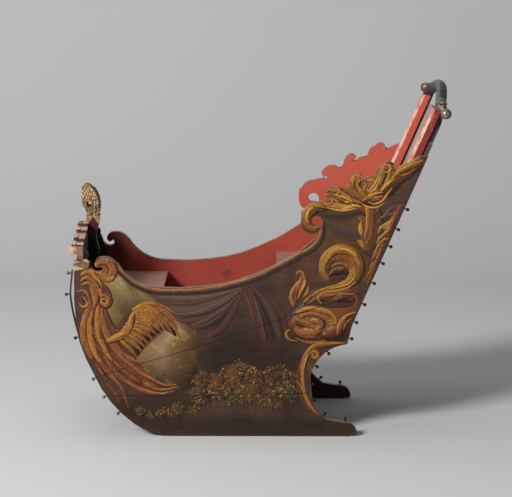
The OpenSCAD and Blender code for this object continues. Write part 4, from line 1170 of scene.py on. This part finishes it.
sternBorder = (
    ("copper", (10, 28, 28, 22, 16, 6),
     ((458, 748), (432, 692), (408, 637), (389, 586), (370, 536), (352, 492)), 0.74, 0.8),
    ("copper", (6, 18, 18, 8), ((440, 724), (428, 686), (411, 652), (399, 620)), 0.95),
    ("copper", (5, 14, 12, 5), ((399, 618), (391, 592), (381, 566), (371, 545)), 0.85),
    ("gold", (4, 12, 11, 3), ((386, 656), (395, 674), (411, 685), (430, 701)), 0.85),
    ("gold", (4, 12, 11, 3), ((382, 624), (392, 642), (406, 652), (420, 669)), 0.8),
    ("russet", (3, 10, 9, 3), ((384, 690), (396, 704), (412, 712), (434, 716)), 0.9),
    ("cream", (2, 6, 5, 2), ((386, 670), (398, 674), (412, 670), (424, 674)), 0.8),
    ("copper", (3, 10, 9, 3), ((372, 590), (382, 606), (396, 614)), 0.9),
    ("line", (1, 3, 1), ((403, 702), (412, 725), (436, 742), (464, 748)), 0.8),
    ("line", (1, 3, 1), ((385, 688), (400, 710), (428, 720), (448, 716)), 0.7),
    ("line", (1, 3, 1), ((374, 700), (377, 722), (390, 740)), 0.7),
    ("gold", (3, 10, 9, 3), ((378, 596), (388, 618), (404, 634), (420, 640)), 0.85),
    ("ochre", (3, 9, 8, 3), ((366, 566), (374, 584), (388, 598)), 0.9),
    ("gold", (2, 8, 7, 2), ((360, 540), (370, 560), (382, 570)), 0.85),
    ("ochre", (2, 8, 7, 2), ((352, 516), (361, 532), (372, 542)), 0.9),
    ("lightGold", (1, 5, 4, 1), ((402, 668), (418, 686), (436, 704)), 0.8),
    ("cream", (1, 4, 3, 1), ((392, 640), (406, 656), (424, 668)), 0.75))

# Middle of the painted border under the rim, from stern to bow
rimLine = ((206, 690), (207, 662), (196, 632), (170, 606), (141, 591), (70, 551), (0, 517), (-80, 492),
           (-160, 477), (-240, 472), (-320, 475), (-372, 494), (-408, 523), (-436, 552))


def paintWing(p, setup):
    roots, tips = np.array(setup["roots"], float), np.array(setup["tips"], float)
    inset = roots + (tips - roots) * 0.9
    crest = np.array(((-365, 422), (-330, 424), (-290, 412)))
    p.patch("russet", np.vstack([crest, inset[1:], roots[::-1]]), level=0.85)
    for reach, ink, width, level in setup["rows"]:
        for i in reversed(range(len(roots))):
            root, tip = roots[i], roots[i] + (tips[i] - roots[i]) * reach
            run = tip - root
            out = np.array([-run[1], run[0]]) / max(np.linalg.norm(run), 1)
            bulge = setup["bulge"][i] * reach
            path = (root, root + run * 0.3 + out * bulge * 0.9, root + run * 0.68 + out * bulge * 0.8, tip)
            p.stroke(ink, (width * 0.7, width, width * 0.85, 3), path, level * (1.0 - 0.015 * i))
            quill = path + out * width * 0.1
            p.stroke("lightGold", (1.2, 2.4, 2, 1), quill, 0.8 if reach == 1.0 else 0.95)
    p.stroke("gold", (16, 28, 26, 24, 18, 8), ((-470, 306), (-438, 320), (-411, 335), (-397, 356),
                                               (-392, 384), (-380, 408)), 0.95)
    p.stroke("lightGold", (3, 8, 9, 3), ((-412, 342), (-402, 362), (-396, 388)), 0.95)
    for i in range(10):
        t = i / 9
        x, z = -452 + 62 * t, 314 + 82 * t ** 1.4
        p.stroke("lightGold", (3, 9, 7, 2), ((x, z), (x + 7, z + 6), (x + 15, z + 3)), 0.85)


gardenSetup = {
    "seed": 7,
    # first x, last x, foot height, tallest, shrubs
    "rows": ((-178, 120, 150, 96, 9), (-200, 130, 96, 84, 11), (-390, -190, 60, 46, 6)),
    "crowns": ("russet", "leaf", "umber", "ochre"),
    "leaves": ("leaf", "umber", "moss", "russet", "ochre", "leaf", "moss"),
    "blooms": ("blossom", "cream", "gold", "blossom", "pink", "lightGold"),
    "bloomShare": 0.17,
    "high": (0.5, 1.0), "spread": (0.30, 0.50),      # shares of the tallest and of a shrub's height
    "lean": (-10, 10), "leafSize": (6.0, 13.0), "level": 0.72,
}


def paintLeaf(p, draw, setup, x, z, high, spread):
    angle, reach = draw.uniform(0, 2 * math.pi), draw.random() ** 0.5
    at = np.array((x + spread * reach * math.cos(angle),
                   z + high * 0.56 + high * 0.44 * reach * math.sin(angle)))
    size = draw.uniform(*setup["leafSize"])
    turn = angle + draw.uniform(-0.9, 0.9)
    end = at + size * np.array((math.cos(turn), math.sin(turn)))
    bloom = draw.random() < setup["bloomShare"]
    tint = draw.choice(setup["blooms"] if bloom else setup["leaves"])
    bow = (at + end) / 2 + np.array((0, size * 0.2))
    level = (0.8 if bloom else 1.0) + 0.3 * math.cos(angle - 2.2) * reach
    widths = (2, size * (0.62 if bloom else 0.5), 1.2)
    p.stroke(tint, widths, (at, bow, end), level * setup["level"])


def paintGarden(p, setup):
    draw = random.Random(setup["seed"])
    for left, right, foot, tall, count in setup["rows"]:
        for i in range(count):
            p.height = 0.14 + 0.1 * draw.random()
            x = left + (right - left) * (i + draw.uniform(0.1, 0.9)) / count
            z = foot + draw.uniform(-12, 12)
            high = tall * draw.uniform(*setup["high"])
            spread = high * draw.uniform(*setup["spread"])
            lean = draw.uniform(*setup["lean"])
            tint = draw.choice(setup["crowns"])
            stem = ((x, z - 6), (x + lean / 2, z + high / 2), (x + lean, z + high))
            p.stroke("umber", (4, 4, 2), stem, 1.2)
            crown = ((x, z + high * 0.2), (x + lean, z + high * 0.6), (x + lean, z + high))
            p.stroke(tint, (spread, spread * 2.4, spread), crown, 0.55, 1.0)
            for _ in range(int(18 + high / 3)):
                paintLeaf(p, draw, setup, x + lean, z, high, spread)


def paintRim(p, path):
    line = smoothPath(path, 12.0)
    run = np.gradient(line, axis=0)
    run /= np.linalg.norm(run, axis=1)[:, None]
    inward = np.stack([-run[:, 1], run[:, 0]], 1)
    p.stroke("dusk", (14, 16, 16, 14), line + inward * 9, 1.1, 0.8)
    p.stroke("border", (11, 11, 12, 14), line, 1.0)
    p.stroke("cream", (2, 2.4, 2), line - inward * 3.5, 0.85)
    p.stroke("umber", (1.6, 2, 2), line + inward * 7, 1.0)


painting = Painting()
painting.strokes(drapery)
for outline in skyPatches:
    painting.patch("gold", outline, kind=1)
paintGarden(painting, gardenSetup)
painting.height, painting.crown, painting.hair = 0.30, 1.0, 0.9
painting.strokes(birdBody)
paintWing(painting, birdWing)
painting.strokes(birdHead)
painting.height, painting.crown, painting.hair = 0.14, 0.0, 0.35
for rows in (sternGlow, sternBorder, flowerStem, sternScrolls, shellCluster, scoopBorder, sternCrest):
    painting.strokes(rows)
painting.height = 0.5
paintRim(painting, rimLine)
painting.strokes(bowScroll)
nearPainting = painting.make("near_side_painting", -1)
painting.make("far_side_painting", 1)
print("sides painted:", painting.count, "strokes,", len(nearPainting.data.polygons), "faces each")

# Carved and gilded pieces at the bow: the plain solids remeshed finely, then cut inwards

# cell is the size of the carved cells, depth theirs, ribs the pitch and depth of ribs across
carvedPieces = {
    "finial": {"name": "carved_finial", "voxel": 0.0012, "cell": (0.0065, 0.0065, 0.0085),
               "depth": 0.0020, "ribs": None},
    "crest_roll": {"name": "ribbed_crest_roll", "voxel": 0.0015, "cell": (0.006, 0.02, 0.02),
                   "depth": 0.0006, "ribs": (0.0105, 0.0034)},
    "crest_feet": {"name": "leaf_crest_feet", "voxel": 0.0013, "cell": (0.060, 0.009, 0.016),
                   "depth": 0.0010, "ribs": None},
}


def meshPoints(mesh):
    points = np.zeros(len(mesh.vertices) * 3)
    mesh.vertices.foreach_get("co", points)
    return points.reshape(-1, 3)


def ramp01(value, low, high):
    t = np.clip((value - low) / (high - low), 0, 1)
    return t * t * (3 - 2 * t)


def cutRecess(points, setup):
    size = np.array(setup["cell"])
    gaps = np.array([noise.voronoi(Vector(p / size))[0][:2] for p in points])
    groove = 1 - ramp01(gaps[:, 1] - gaps[:, 0], 0.02, 0.34)
    recess = groove
    depth = groove * setup["depth"]
    if setup["ribs"]:
        pitch, ribDepth = setup["ribs"]
        rib = np.abs(np.cos(math.pi * np.abs(points[:, 1]) / pitch)) ** 5
        recess = np.maximum(recess * 0.4, rib)
        depth = depth + rib * ribDepth
    return depth, recess


def carvePiece(nodeName, setup):
    piece = newObject(setup["name"], [], [], smooth=False)
    piece.data = nodes[nodeName].data.copy()
    remesh = piece.modifiers.new("fine", "REMESH")
    remesh.mode = "VOXEL"
    remesh.voxel_size = setup["voxel"]
    fine = bpy.data.meshes.new_from_object(piece.evaluated_get(bpy.context.evaluated_depsgraph_get()))
    piece.modifiers.clear()
    piece.data = fine
    points = meshPoints(fine)
    normals = np.zeros(points.size)
    fine.vertex_normals.foreach_get("vector", normals)
    depth, recess = cutRecess(points, setup)
    points = points - normals.reshape(-1, 3) * (depth + setup["voxel"] * 0.3)[:, None]
    fine.vertices.foreach_set("co", points.reshape(-1))
    addLayer(fine, "recess", recess)
    fine.polygons.foreach_set("use_smooth", [True] * len(fine.polygons))
    fine.materials.clear()
    fine.materials.append(rollMaterial if setup["ribs"] else materials["gilding"])
    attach(piece, "root")
    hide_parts(nodeName)
    return piece


for nodeName, setup in carvedPieces.items():
    piece = carvePiece(nodeName, setup)
    print("carved:", piece.name, len(piece.data.polygons), "faces")


# Turned rings on the handle ends, laid round the line from sleeve to ball

ringSetup = {
    "around": 28, "section": 10,
    # place between the sleeve's tip (0) and the ball's middle (1), ring and section radius
    "neck": ((0.30, 0.0116, 0.0026), (0.60, 0.0096, 0.0026)),
    "tipPast": 0.002,         # how far the sleeve's tip stands inside the plank's inner face
    "barMiddle": 0.012, "barEnd": 0.002,      # slices of the bar that give its arch
    "nearBall": 0.012, "farBall": 0.010,      # slices of the ends that belong to the balls
}


def sphereFit(points):
    rows = np.column_stack([2 * points, np.ones(len(points))])
    answer = np.linalg.lstsq(rows, (points ** 2).sum(1), rcond=None)[0]
    return answer[:3]


def addRing(points, faces, centre, axis, radius, wire, setup):
    across = np.cross(axis, (0.0, 0.0, 1.0))
    across /= np.linalg.norm(across)
    up = np.cross(across, axis)
    base, n, m = len(points), setup["around"], setup["section"]
    for i in range(n):
        a = 2 * math.pi * i / n
        out = across * math.cos(a) + up * math.sin(a)
        for j in range(m):
            b = 2 * math.pi * j / m
            points.append(centre + out * (radius + wire * math.cos(b)) + axis * wire * math.sin(b))
    for i in range(n):
        for j in range(m):
            k, l = (i + 1) % n, (j + 1) % m
            faces.append((base + i * m + j, base + k * m + j, base + k * m + l, base + i * m + l))


def addRings(nodeName, name, side, setup):
    bar, end = meshPoints(nodes["handle_bar"].data), meshPoints(nodes[nodeName].data)
    edge = np.abs(bar[:, 1]).max()
    middle = bar[np.abs(bar[:, 1]) < setup["barMiddle"]].mean(0)
    start = bar[bar[:, 1] * side > edge - setup["barEnd"]].mean(0)
    drop = math.hypot(start[0] - middle[0], start[2] - middle[2])
    down = (start - middle) * (1, 0, 1) / drop
    arch = (start[1] ** 2 + drop ** 2) / (2 * drop)
    tipY = side * (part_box("far_middle_plank")[0].y + setup["tipPast"])
    fall = arch - math.sqrt(arch ** 2 - tipY ** 2)
    tip = middle * (1, 0, 1) + down * fall + np.array((0.0, tipY, 0.0))
    ball = sphereFit(end[end[:, 0] > end[:, 0].max() - setup["nearBall"]] if side < 0
                     else end[end[:, 1] > end[:, 1].max() - setup["farBall"]])
    points, faces = [], []
    axis = (ball - tip) / np.linalg.norm(ball - tip)
    for place, radius, wire in setup["neck"]:
        addRing(points, faces, tip + (ball - tip) * place, axis, radius, wire, setup)
    piece = newObject(name, points, faces)
    piece.data.materials.append(handleMetal)
    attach(piece, "root")


addRings("near_handle_end", "near_handle_rings", -1, ringSetup)
addRings("far_handle_end", "far_handle_rings", 1, ringSetup)
print("handle rings added")
